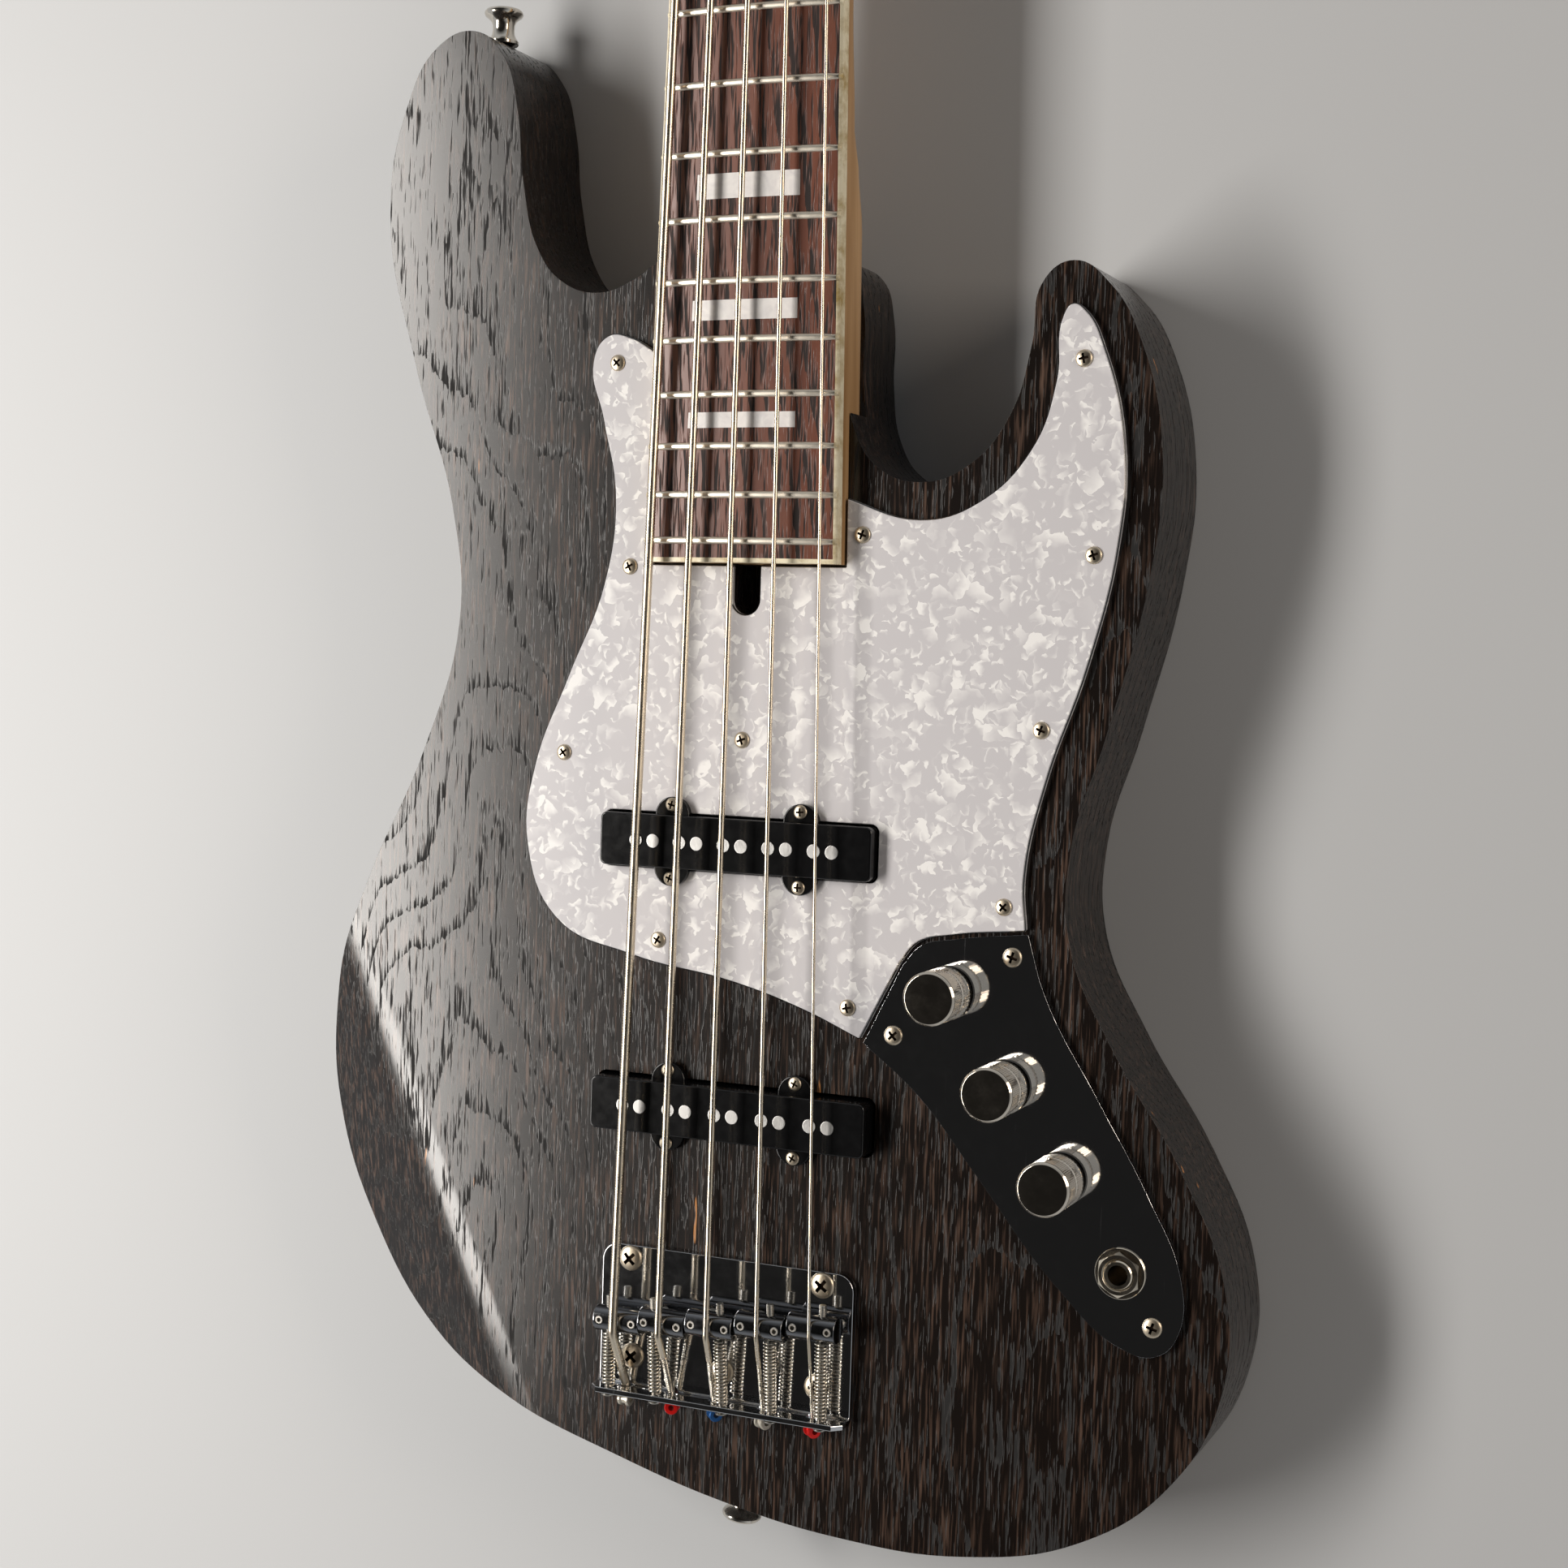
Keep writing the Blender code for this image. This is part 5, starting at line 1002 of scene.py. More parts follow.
bridge_low, bridge_floor = front + 0.1, front + 2.3
wall_rear, wall_face, wall_top = -37.5, -35.5, front + 11.1
bridge_half, bridge_front = 47.2, 13.2
outer_bend, inner_bend = 3.0, 1.2
section = [(bridge_front, bridge_low), (bridge_front, bridge_floor)]
section += [(wall_face + inner_bend - inner_bend * math.sin(k * math.pi / 12),
             bridge_floor + inner_bend - inner_bend * math.cos(k * math.pi / 12)) for k in range(7)]
section += [(wall_face, wall_top), (wall_rear, wall_top)]
section += [(wall_rear + outer_bend - outer_bend * math.cos(k * math.pi / 16),
             bridge_low + outer_bend - outer_bend * math.sin(k * math.pi / 16)) for k in range(9)]
bridge = extruded("bridge", [(-bridge_half, y, z) for y, z in section], (2 * bridge_half, 0.0, 0.0))
front_corner = 6.0
corner_arc = [(front_corner * (1 - math.cos(k * math.pi / 16)),
               front_corner * (1 - math.sin(k * math.pi / 16))) for k in range(9)]
blank = [(-bridge_half + dx, bridge_front - dy, 1) for dx, dy in corner_arc]
blank += [(bridge_half - dx, bridge_front - dy, 1) for dx, dy in reversed(corner_arc)]
blank += [(bridge_half, wall_rear - 1.0, 1), (-bridge_half, wall_rear - 1.0, 1)]
carve(bridge, plate("blank", blank, 30.0, 70.0, 1), "INTERSECT")
ear_cut = 3.0
carve(bridge, extruded("wall_blank",
                       [(-bridge_half - 1.0, -60.0, 30.0), (bridge_half + 1.0, -60.0, 30.0),
                        (bridge_half + 1.0, -60.0, wall_top - ear_cut - 1.0),
                        (bridge_half - ear_cut, -60.0, wall_top), (ear_cut - bridge_half, -60.0, wall_top),
                        (-bridge_half - 1.0, -60.0, wall_top - ear_cut - 1.0)], (0.0, 120.0, 0.0)),
      "INTERSECT")
soften(bridge, 0.45, 3, 50.0)
saddle_y = (-11.4, -9.4, -7.5, -5.6, -4.0)
screw_offset = (-4.2, -4.2, 3.0, 3.0, 3.0)
hole_offset = (0.6, 0.6, -1.4, -1.4, -1.4)
saddle_radius, saddle_length = 4.5, 17.4
saddle_spots, screw_seats, screw_ways = [], [], []
for index in range(5):
    y = saddle_y[index]
    spot = Vector((string_x(index, 0.0), y, string_bottom(index, y) - 0.3 - saddle_radius + 0.7))
    seat = Vector((spot.x + screw_offset[index], wall_rear, front + 8.3))
    way = (Vector((seat.x, spot.y, spot.z)) - seat).normalized()
    saddle_spots.append(spot)
    screw_seats.append(seat)
    screw_ways.append(way)
    carve(bridge, peg(seat - way * 3.0, seat + way * 6.0, 1.8, 24))
    x = string_x(index, 0.0) + hole_offset[index]
    carve(bridge, peg((x, wall_rear - 3.0, front + 4.4), (x, wall_rear + 6.0, front + 4.4), 2.3, 24))
# Chrome over a bent and buffed plate: a mirror slightly softer than the control plate's.
mirror_bridge = plated("bridge_chrome", "#c9cacc", 0.05, 0.06, scratches=0.08)
finish(bridge, "bridge_base", mirror_bridge, stands_for=("bridge_plate",), smooth=30.0)

screwed("bridge_screws", 4.4, ((-36.0, 8.7), (36.0, 8.7), (-34.4, -25.4), (0.0, -26.0), (35.0, -26.0)),
        bridge_floor - 0.1)


# Saddles: black chromed brass barrels with a groove for the string, two grub screws that set their
# height and a long screw through the wall that sets their place, with a spring round it.
# Black chrome is a smoke-grey mirror, the zinc-plated screws have a warm grey satin shine, and the
# drawn spring wire is bright with a faint blur along it.
black_chrome = plated("black_chrome", "#77787b", 0.07, 0.1)
steel_screw = plated("zinc_plated_screw", "#b9b5ad", 0.25, 0.15)
spring_wire = plated("spring_wire", "#cfc8bb", 0.2, 0.12)
grub_radius, grub_offset = 1.5, 6.2
wire_radius, coil_radius, coil_gap = 0.35, 2.1, 0.3
wall = wall_face - wall_rear
for index, name in enumerate(string_names):
    spot, seat, way = saddle_spots[index], screw_seats[index], screw_ways[index]
    half = saddle_length / 2
    barrel = soften(peg(spot - Vector((half, 0, 0)), spot + Vector((half, 0, 0)), saddle_radius, 64), 0.45, 3)
    groove_radius = string_diameters[index] / 2 + 0.15
    groove_z = string_bottom(index, spot.y) + string_diameters[index] / 2
    carve(barrel, peg((spot.x, spot.y - 9, groove_z), (spot.x, spot.y + 9, groove_z), groove_radius, 32))
    parts = []
    for side in (-1, 1):
        x = spot.x + side * grub_offset
        top = spot.z + 4.3
        carve(barrel, peg((x, spot.y, spot.z - 9.0), (x, spot.y, spot.z + 9.0), grub_radius + 0.15, 24))
        grub = threaded("grub", (x, spot.y, bridge_floor + 0.1), (x, spot.y, top - 1.6), grub_radius, 0.5,
                        0.2)
        rim = turned("rim", ((0.0, 0.0), (1.5, 0.0), (1.5, 1.4), (1.3, 1.6), (0.0, 1.6)),
                     (x, spot.y, top - 1.6), sides=24)
        carve(rim, peg((x, spot.y, top - 1.3), (x, spot.y, top + 1.0), 0.85, 6))
        parts += [grub, rim]
    carve(barrel, peg(seat, seat + way * 80.0, 1.45, 24))
    finish(barrel, "barrel_" + name, black_chrome, stands_for=("saddle_" + name,),
           smooth=30.0)
    middle = (Vector((seat.x, spot.y, spot.z)) - seat).length
    parts.append(threaded("length_screw", seat - way * 0.5, seat + way * (middle + 8.0), 1.3, 0.5, 0.2))
    parts += screw_heads(2.3, [(seat - way * 0.4, -way, 0.5 + index)])
    finish(merge(parts), "saddle_screws_" + name, steel_screw, smooth=35.0)
    coil_foot = wall + coil_gap + wire_radius
    coil_start = seat + way * coil_foot
    coil_length = middle - coil_foot - (saddle_radius + wire_radius + 0.1)
    side_way = way.orthogonal().normalized()
    up_way = way.cross(side_way)
    coil_turns = round(coil_length / 1.25)
    steps = 16
    coil = []
    for k in range(steps * coil_turns + 1):
        turn = 2 * math.pi * k / steps
        spiral = side_way * math.cos(turn) + up_way * math.sin(turn)
        coil.append(coil_start + way * (coil_length * k / (steps * coil_turns)) + spiral * coil_radius)
    finish(tube("coil", coil, wire_radius, 2), "spring_" + name, spring_wire,
           stands_for=("saddle_spring_" + name,), smooth=60.0)


# Strings: steel cores wound with round nickel wire, taut from a ball behind the bridge, over saddle
# and nut, to two turns round the post. All but the lowest have their core twisted back on itself
# behind the saddle. The windings are real ridges, drawn a little coarser than wound, so as to show.
def spaced(points, step):
    """The points of a path, set again at even steps along it."""
    marks = [0.0]
    for near, far in zip(points, points[1:]):
        marks.append(marks[-1] + (far - near).length)
    count = int(marks[-1] / step)
    made, leg = [], 0
    for k in range(count + 1):
        mark = marks[-1] * k / count
        while leg < len(points) - 2 and marks[leg + 1] < mark:
            leg += 1
        made.append(points[leg].lerp(points[leg + 1], (mark - marks[leg]) / (marks[leg + 1] - marks[leg])))
    return made


def ball_paint(name, code):
    """Lacquer or nickel on a brass ball: a coloured metal shine, rubbed dull in places."""
    paint, place = new_material(name)
    rub = add(paint, "ShaderNodeTexNoise", {}, {"Vector": place, "Scale": 900.0})
    gloss = add(paint, "ShaderNodeMapRange", {}, {"Value": rub.outputs["Fac"], "To Min": 0.2, "To Max": 0.45})
    join_nodes(paint, paint.node_tree.nodes["Principled BSDF"], {
        "Base Color": colour(code), "Metallic": 0.5, "Roughness": gloss.outputs[0]})
    return paint


red_ball = ball_paint("red_lacquered_brass", "#e01c18")
plain_ball = ball_paint("nickelled_brass", "#c9c2b4")
ball_paints = (plain_ball, red_ball, ball_paint("blue_lacquered_brass", "#1d5590"), plain_ball, red_ball)
# Round nickel winding: warm silver, whose ridges break each highlight into a row of beads.
wound_nickel = plated("round_wound_nickel", "#dccfba", 0.24, 0.12)
wrap_pitches = (0.95, 0.85, 0.75, 0.65, 0.6)
ridge_shares = (0.88, 0.93, 0.96, 0.97, 0.97)
ball_axes = ((1.0, 0.0, 0.1), (0.25, 0.0, 1.0), (0.7, 0.0, 0.8), (0.9, 0.0, 0.5), (0.75, 0.0, 0.65))
waist_radius = 4.8
for index, name in enumerate(string_names):
    radius = string_diameters[index] / 2
    spot = saddle_spots[index]
    rear = Vector((string_x(index, 0.0) + hole_offset[index], wall_rear, front + 4.4))
    over_z = string_bottom(index, spot.y) + radius
    nut_at = Vector((string_x(index, scale_length), scale_length,
                     string_bottom(index, scale_length) + radius))
    ball = rear - Vector((0.0, 0.3 + 2.4, 0.0))
    after_wall = rear + Vector((0.0, 3.0, 0.2))
    clear = saddle_radius + 0.3 + radius
    leave = Vector((spot.x, spot.y - math.sqrt(clear ** 2 - (over_z - spot.z) ** 2), over_z))
    run = [ball + Vector((0.0, 2.0, 0.0)), after_wall, leave - Vector((0.0, 1.0, 0.35)),
           leave + Vector((0.0, 0.3, -0.03)), leave + Vector((0.0, 2.0, 0.0)), nut_at,
           nut_at + Vector((0.0, nut_length, 0.0))]
    side = 1 if post_x[name] > 0 else -1
    post = Vector((post_x[name], post_y[name]))
    path = waist_radius + 0.35 + radius
    to_post = post - run[-1].xy
    bearing = math.atan2(to_post.y, to_post.x)
    meet = bearing + side * (math.pi / 2 - math.asin(path / to_post.length))
    lowest = head_top + 3.2 + radius
    for k in range(73):
        turn = meet - side * 2 * math.pi * k / 36
        climb = (2 * radius + 0.35) * max(0.0, k - 4) / 36
        run.append(Vector((post.x + path * math.cos(turn), post.y + path * math.sin(turn), lowest + climb)))
    twist_start = ball + Vector((0.0, 2.1, 0.0))
    twist_end = after_wall.lerp(leave, 0.6)
    points = spaced(run, wrap_pitches[index] / 2)
    shares = []
    for k, point in enumerate(points):
        bare = index > 0 and point.y < twist_end.y
        shares.append(0.6 if bare else 1.0 if k % 2 else ridge_shares[index])
    finish(tube("strand", points, radius, 3, shares), "string_winding_" + name, wound_nickel,
           stands_for=("string_" + name,), smooth=60.0)
    ring = turned("ring", ((1.0, -2.2), (2.1, -2.2), (2.4, -1.9), (2.4, -1.2), (1.75, -0.7), (1.75, 0.7),
                           (2.4, 1.2), (2.4, 1.9), (2.1, 2.2), (1.0, 2.2), (1.0, -2.2)), ball,
                  ball_axes[index], 32)
    finish(ring, "ball_end_" + name, ball_paints[index], smooth=35.0)
    if index == 0:
        continue
    way = (twist_end - twist_start).normalized()
    aside = way.orthogonal().normalized()
    above = way.cross(aside)
    wire = 0.2 + 0.1 * radius
    turns = int((twist_end - twist_start).length / (5.0 * wire))
    strands = []
    for half_turn in (0.0, math.pi):
        coil = []
        for k in range(12 * turns + 1):
            turn = 2 * math.pi * k / 12 + half_turn
            bow = aside * math.cos(turn) + above * math.sin(turn)
            coil.append(twist_start.lerp(twist_end, k / (12 * turns)) + bow * radius * 0.66)
        strands.append(tube("twist", coil, wire, 1))
    finish(merge(strands), "core_twist_" + name, spring_wire, smooth=60.0)


# Knobs: brass barrels, cut with a diamond knurl in two bands and chromed. A brass shaft comes up into
# each from its control, and a set screw in the side holds it there. The knurl's pyramids are
# 1.25 mm apart, which is coarser than the real ones, so that they show.
knob_radius, knob_low, knob_height = 8.8, 46.1, 17.4
knurl_columns, knurl_depth = 44, 0.4
set_screw_z = knob_low + 10.6


def knurled(low, high, x, y):
    """A band whose points stand in and out by turns, which leaves rows of small pyramids."""
    rows = 2 * round((high - low) / 1.25)
    verts, faces = [], []
    for row in range(rows + 1):
        for column in range(2 * knurl_columns):
            inward = knurl_depth if (row + column) % 2 or row in (0, rows) else 0.0
            turn = math.pi * column / knurl_columns
            reach = (knob_radius - inward) * mm
            verts.append((x * mm + reach * math.cos(turn), y * mm + reach * math.sin(turn),
                          (low + (high - low) * row / rows) * mm))
    wide = 2 * knurl_columns
    for row in range(rows):
        for column in range(wide):
            near, far = row * wide + column, row * wide + (column + 1) % wide
            corners = (near, far, far + wide, near + wide)
            split = (0, 1, 2, 3) if (row + column) % 2 else (1, 2, 3, 0)
            a, b, c, d = (corners[k] for k in split)
            faces += [(a, b, c), (a, c, d)]
    return verts, faces, wide, rows


def knob_shell(x, y):
    """A knob as one closed skin: turned top, knurl, groove, knurl, and the recess beneath."""
    bands = ((knob_low + 0.9, knob_low + 6.6), (knob_low + 8.2, knob_low + knob_height - 1.5))
    wide = 2 * knurl_columns
    verts, faces = [], []

    def ring(radius, z):
        for column in range(wide):
            turn = math.pi * column / knurl_columns
            verts.append((x * mm + radius * mm * math.cos(turn), y * mm + radius * mm * math.sin(turn),
                          z * mm))

    def bridge_rings(near, far):
        for column in range(wide):
            after = (column + 1) % wide
            faces.append((near + column, near + after, far + after, far + column))

    profile_low = [(3.3, knob_low + 14.4), (3.3, knob_low + 4.0), (6.4, knob_low + 4.0), (6.4, knob_low),
                   (8.5, knob_low), (8.8, knob_low + 0.2), (8.8, knob_low + 0.7)]
    profile_mid = [
        (8.15, knob_low + 6.9), (8.0, knob_low + 7.1), (8.0, knob_low + 7.7), (8.15, knob_low + 7.9)]
    top = knob_low + knob_height
    profile_top = [(8.6, top - 1.3), (8.8, top - 1.2), (8.8, top - 0.75), (8.15, top - 0.1), (7.9, top),
                   (6.0, top)]
    previous = None
    for profile, band in ((profile_low, bands[0]), (profile_mid, bands[1]), (profile_top, None)):
        for radius, z in profile:
            start = len(verts)
            ring(radius, z)
            if previous is not None:
                bridge_rings(previous, start)
            previous = start
        if band:
            more, skin, _, rows = knurled(band[0], band[1], x, y)
            start = len(verts)
            verts.extend(more)
            faces.extend(tuple(k + start for k in face) for face in skin)
            bridge_rings(previous, start)
            previous = start + rows * wide
    faces.append(tuple(previous + column for column in range(wide)))
    faces.append(tuple(reversed(range(wide))))
    return face_out(meshed("knob", verts, [], faces))


# Chromed brass: a warm mirror that the knurl breaks into sparks.
knob_chrome = plated("chromed_brass", "#c9c0b3", 0.07, 0.08)
for number, (x, y) in enumerate(knob_centres, 1):
    shell_piece = knob_shell(x, y)
    carve(shell_piece, peg((x, y + 3.0, set_screw_z), (x, y + 12.0, set_screw_z), 1.3, 24))
    set_screw = threaded("set_screw", (x, y + 3.4, set_screw_z), (x, y + 8.0, set_screw_z), 1.2, 0.5, 0.15)
    carve(set_screw, peg((x, y + 6.2, set_screw_z), (x, y + 9.0, set_screw_z), 0.7, 6))
    finish(shell_piece, f"knob_barrel_{number}", knob_chrome, f"control_{number}",
           stands_for=(f"knob_{number}",), smooth=24.0)
    finish(set_screw, f"knob_set_screw_{number}", steel_screw, f"control_{number}",
           smooth=35.0)
# Turned brass is yellow and softly bright, and galvanised steel dull grey and clouded.
turned_brass = plated("turned_brass", "#b8935a", 0.3, 0.15)
pressed_steel = plated("galvanised_steel", "#8f8f8c", 0.45, 0.2)
for number in (1, 2, 3):
    for node, metal in ((f"pot_shaft_{number}", turned_brass), (f"potentiometer_{number}", pressed_steel)):
        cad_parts[node].data.materials.clear()
        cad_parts[node].data.materials.append(metal)


# Output socket: a closed nickelled barrel hung under the control plate. Its threaded bush comes up
# through a washer and a chamfered hexagon nut.
# Bright nickel on turned metal: a warm mirror, a little hazy.
bright_nickel = plated("bright_nickel", "#d8cdbb", 0.13, 0.12)
jack_face = panel_top + 0.1
bush_top = front + 5.3
barrel = turned("barrel", ((3.25, bush_top), (4.3, bush_top), (4.7, bush_top - 0.4), (4.7, front - 0.3),
                           (6.5, front - 0.3), (6.5, front - 24.3), (0.0, front - 24.3), (0.0, front - 22.3),
                           (3.25, front - 22.3), (3.25, bush_top)), (jack_x, jack_y, 0.0), sides=64)
finish(barrel, "socket_barrel", bright_nickel, stands_for=("output_jack",), smooth=30.0)
washer = turned("washer", ((4.8, jack_face), (8.1, jack_face), (8.3, jack_face + 0.2), (8.3, jack_face + 0.6),
                           (8.1, jack_face + 0.8), (4.8, jack_face + 0.8), (4.8, jack_face)),
                (jack_x, jack_y, 0.0), sides=64)
nut_low, nut_top = jack_face + 0.8, jack_face + 3.0
hexagon = peg((jack_x, jack_y, nut_low), (jack_x, jack_y, nut_top), 7.5, 6)
corner_cut = turned("corner_cut", ((0.0, nut_low - 1.0), (7.6, nut_low - 1.0), (7.6, nut_top - 0.75),
                                   (6.4, nut_top), (6.2, nut_top + 1.0), (0.0, nut_top + 1.0)),
                    (jack_x, jack_y, 0.0), sides=96)
carve(hexagon, corner_cut, "INTERSECT")
carve(hexagon, turned("countersink",
                      ((0.0, nut_low - 1.0), (4.8, nut_low - 1.0), (4.8, nut_top - 0.4), (5.3, nut_top),
                       (5.3, nut_top + 1.0), (0.0, nut_top + 1.0)), (jack_x, jack_y, 0.0), sides=64))
finish(merge([washer, hexagon]), "socket_nut", bright_nickel, stands_for=("jack_nut",),
       smooth=25.0)


# Strap buttons: turned brass, chromed, with a wide lip, on a wood screw into the rim of the body.
button_profile = ((0.0, 10.6), (2.6, 10.6), (3.6, 12.1), (5.4, 12.5), (6.3, 12.3), (6.9, 11.6), (7.0, 10.9),
                  (6.6, 10.1), (5.6, 9.4), (4.5, 8.4), (3.95, 7.0), (3.9, 5.2), (4.1, 3.6), (4.8, 2.2),
                  (5.5, 1.2), (5.5, 0.25), (5.3, 0.0), (0.0, 0.0))
# Chrome on a turned button: a mirror that the strap has rubbed slightly soft.
chromed_brass = plated("chromed_button", "#cfc9bf", 0.09, 0.12)
for name, (x, y), (out_x, out_y) in (("horn", (-113.5, 435.2), (0.0, 1.0)),
                                     ("tail", (0.0, -72.1), (-0.135, -1.0))):
    outward_way = Vector((out_x, out_y, 0.0)).normalized()
    foot = Vector((x, y, front / 2)) + outward_way * 0.1
    button = turned("button", button_profile, foot, outward_way, 64)
    screw = screw_heads(2.5, [(foot + outward_way * 10.5, outward_way, 0.4)])
    finish(merge([button] + screw), "strap_peg_" + name, chromed_brass,
           stands_for=("strap_button_" + name,), smooth=30.0)


# Neck bolts: four long wood screws through the body into the neck's heel, each in a turned ferrule
# that is sunk in the back.
for number, (x, y) in enumerate(bolt_spots, 1):
    ferrule = turned("ferrule", ((2.7, 3.2), (6.6, 3.2), (6.8, 3.0), (6.8, 1.0), (6.3, 0.4), (5.3, 0.4),
                                 (2.7, 2.6), (2.7, 3.2)), (x, y, 0.0), sides=48)
    shank = threaded("shank", (x, y, 1.6), (x, y, pocket_floor + 14.0), 2.5, 1.8, 0.45)
    cap = screw_heads(4.9, [((x, y, 2.3), down, number * 0.8)])
    finish(merge([ferrule, shank] + cap), f"neck_screw_{number}", nickel_screw,
           stands_for=(f"neck_bolt_{number}",), smooth=35.0)


# Tuning machines: open worm and wheel on a steel plate. A slotted post passes up through the head,
# and a clover-leaf key turns the worm, which turns the wheel once for every twenty turns.
gear_teeth, gear_height = 20, 24.5
wheel_half, tooth_turn = 2.8, 0.0862
worm_reach = 13.8
worm_core, worm_turns, thread_radius = 2.85, 3, 3.2
worm_half = math.pi * 1.5
lug_gap, lug_width = 1.3, 2.6
key_end, collar_foot, leaf_middle = 60.0, 53.8, 68.25
machine_top = head_back - 0.1
machine_low = machine_top - 1.6
# Nickelled steel is warm silver with a soft shine, and brass left as cut is yellow with a satin face.
brushed_nickel = plated("nickelled_steel", "#cfc5b5", 0.2, 0.15)
cut_brass = plated("cut_brass_wheel", "#b8945c", 0.28, 0.15)


def toothed_wheel(x, y):
    """The wheel. From face to face its teeth turn by tooth_turn radians, to follow the worm's lead."""
    verts, faces = [], []
    levels = 5
    for level in range(levels):
        z = gear_height - wheel_half + 2 * wheel_half * level / (levels - 1)
        trim = 0.25 if level in (0, levels - 1) else 0.0
        set_over = tooth_turn * (level / (levels - 1) - 0.5)
        for tooth in range(gear_teeth):
            middle_turn = math.pi / 2 + math.pi / gear_teeth + set_over + tooth * 2 * math.pi / gear_teeth
            for share, reach in ((-0.26, 8.85), (-0.19, 9.75), (-0.12, 10.7), (0.12, 10.7), (0.19, 9.75),
                                 (0.26, 8.85)):
                turn = middle_turn + share * 2 * math.pi / gear_teeth
                reach -= trim
                verts.append(Vector((x + reach * math.cos(turn), y + reach * math.sin(turn), z)) * mm)
    wide = gear_teeth * 6
    for level in range(levels - 1):
        for k in range(wide):
            after = (k + 1) % wide
            faces.append((level * wide + k, level * wide + after, (level + 1) * wide + after,
                          (level + 1) * wide + k))
    faces.append(tuple(reversed(range(wide))))
    faces.append(tuple((levels - 1) * wide + k for k in range(wide)))
    return meshed("wheel", verts, [], faces)


def key_leaf(side, x, y, z):
    """A clover leaf that is thick in the middle and thin at its rim."""
    r = 11.0
    upper = ((-0.95, -0.24), (-0.58, -0.38), (-0.36, -0.72), (-0.30, -0.93), (0.0, -1.0), (0.26, -0.93),
             (0.36, -0.66), (0.52, -0.44), (0.80, -0.38), (0.93, -0.2), (0.95, 0.0))
    outline = [(side * px * r + x, py * r + y) for px, py in upper]
    outline += [(side * px * r + x, -py * r + y) for px, py in reversed(upper[:-1])]
    leaf = plate("leaf", outline, z - 1.8, z + 1.8, 6)
    return soften(leaf, 1.1, 4, 50.0)


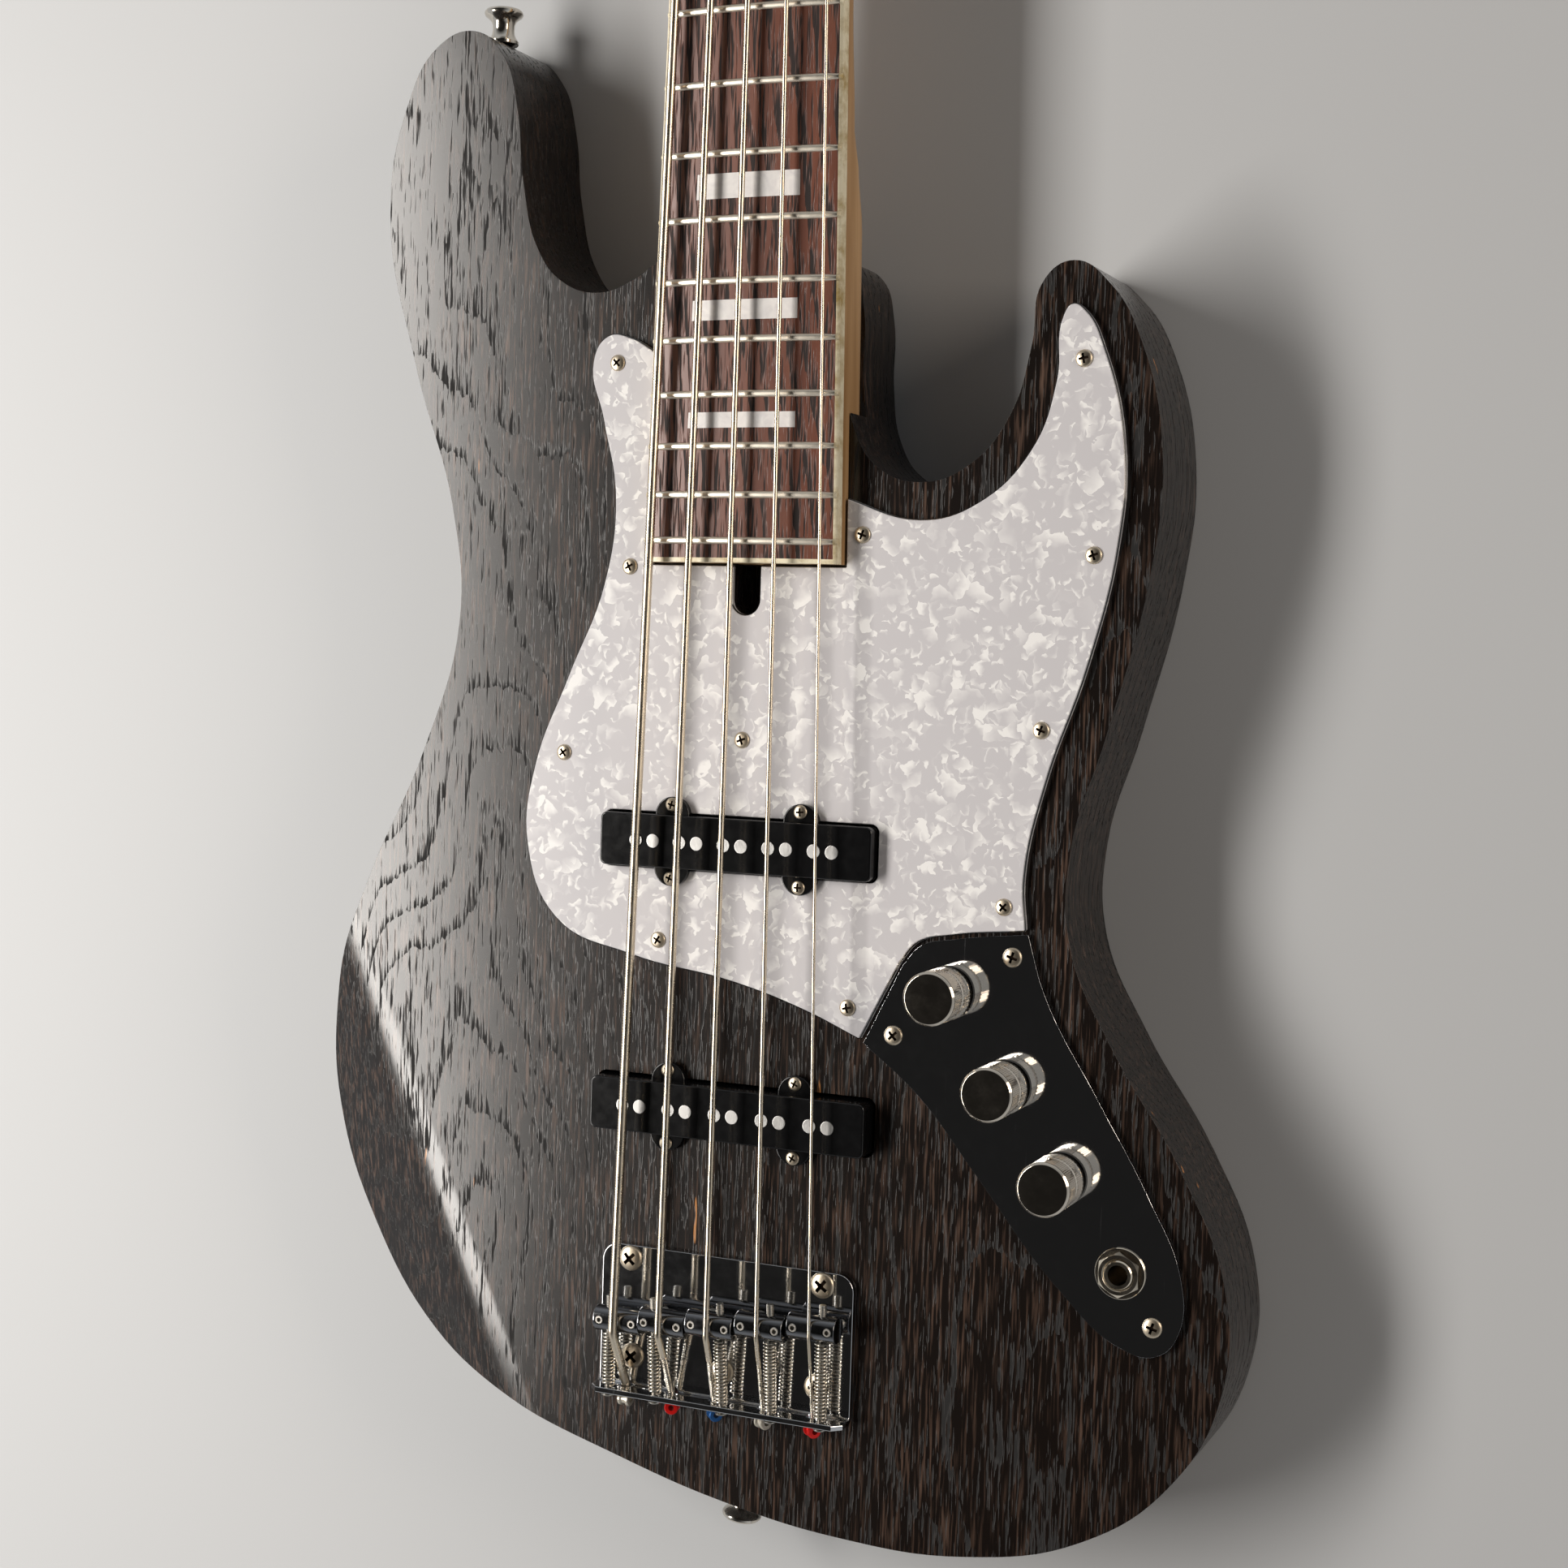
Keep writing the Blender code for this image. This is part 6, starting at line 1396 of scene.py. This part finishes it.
for name in string_names:
    side = 1 if post_x[name] > 0 else -1
    x, y = post_x[name], post_y[name]
    worm_y = y + worm_reach
    near, far = y - 13.0, worm_y + 6.5
    backing = plate("backing", rounded_rectangle(15.0, (far - near) / 2, 4.0, x, (near + far) / 2),
                    machine_low, machine_top, 1)
    soften(backing, 0.35, 2, 50.0)
    carve(backing, peg((x, y, 0.0), (x, y, 60.0), 6.5, 40))
    for direction in (-1, 1):
        inner = x + direction * (worm_half + lug_gap)
        outer = inner + direction * lug_width
        lug = solid((min(inner, outer), worm_y - 4.0, gear_height - 4.0),
                    (max(inner, outer), worm_y + 4.0, machine_low + 0.5))
        soften(lug, 1.0, 3, 50.0)
        carve(backing, lug, "UNION")
    carve(backing, peg((x - 20.0, worm_y, gear_height), (x + 20.0, worm_y, gear_height), 2.75, 32))
    finish(backing, "machine_plate_" + name, brushed_nickel,
           stands_for=("tuner_plate_" + name,))
    corners = [(x + sx * 12.0, cy) for sx in (-1, 1) for cy in (near + 3.0, far - 3.0)]
    small = screw_heads(2.2, [((cx, cy, machine_low + 0.1), down, cx + cy) for cx, cy in corners])
    finish(merge(small), "machine_screws_" + name, nickel_screw, smooth=35.0)
    ring = turned("ring", ((6.35, head_top + 0.05), (9.4, head_top + 0.05), (9.4, head_top + 0.4),
                           (8.9, head_top + 0.8), (6.35, head_top + 0.8), (6.35, head_top + 0.05)),
                  (x, y, 0.0), sides=48)
    finish(ring, "post_washer_" + name, brushed_nickel, smooth=30.0)

    top = head_top + 19.0
    stem = turned("stem", ((0.0, top), (5.7, top), (6.2, top - 0.5), (6.2, top - 3.0), (4.6, top - 4.0),
                           (4.6, head_top + 2.0), (6.2, head_top + 1.0), (6.2, gear_height + wheel_half),
                           (0.0, gear_height + wheel_half)), (x, y, 0.0), sides=48)
    carve(stem, solid((x - 1.0, y - 12.0, top - 4.0), (x + 1.0, y + 12.0, top + 5.0)))
    carve(stem, peg((x, y, top - 12.0), (x, y, top + 5.0), 1.4, 24))
    finish(stem, "machine_stem_" + name, brushed_nickel, "machine_post_" + name,
           stands_for=("tuner_post_" + name,), smooth=30.0)
    wheel = toothed_wheel(x, y)
    carve(wheel, turned("seat",
                        ((0.0, 10.0), (4.6, 10.0), (4.6, gear_height - 2.2), (0.0, gear_height - 2.2)),
                        (x, y, 0.0)))
    finish(wheel, "machine_wheel_" + name, cut_brass, "machine_post_" + name, smooth=25.0)
    [cap] = screw_heads(4.2, [((x, y, gear_height - 2.25), down, 0.3)])
    finish(cap, "wheel_screw_" + name, nickel_screw, "machine_post_" + name, smooth=35.0)

    shaft_out = side * key_end
    shaft_in = x - side * (worm_half + lug_gap + lug_width + 0.3)
    core_profile = ((0.0, -worm_half), (worm_core, -worm_half), (worm_core, worm_half), (0.0, worm_half))
    core = turned("core", core_profile, (x, worm_y, gear_height), (1.0, 0.0, 0.0), 32)
    spindle = soften(peg((shaft_in, worm_y, gear_height), (shaft_out, worm_y, gear_height), 2.5, 32), 0.3, 2)
    thread = []
    for k in range(24 * worm_turns + 1):
        turn = 2 * math.pi * k / 24
        thread.append(Vector((x - worm_half + math.pi * k / 24, worm_y + thread_radius * math.cos(turn),
                              gear_height + thread_radius * math.sin(turn))))
    shares = [0.4] + [1.0] * (24 * worm_turns - 1) + [0.4]
    ridge = tube("ridge", thread, 0.78, 2, shares)
    collar = turned("collar",
                    ((2.5, 0.0), (4.2, 0.0), (4.4, 0.4), (4.4, 2.0), (3.2, 5.0), (2.5, 5.2), (2.5, 0.0)),
                    (side * collar_foot, worm_y, gear_height), (side, 0.0, 0.0), 32)
    leaf = key_leaf(side, side * leaf_middle, worm_y, gear_height)
    finish(merge([core, spindle, ridge, collar, leaf]), "machine_key_leaf_" + name, brushed_nickel,
           "machine_key_" + name, stands_for=("tuner_key_" + name,), smooth=35.0)
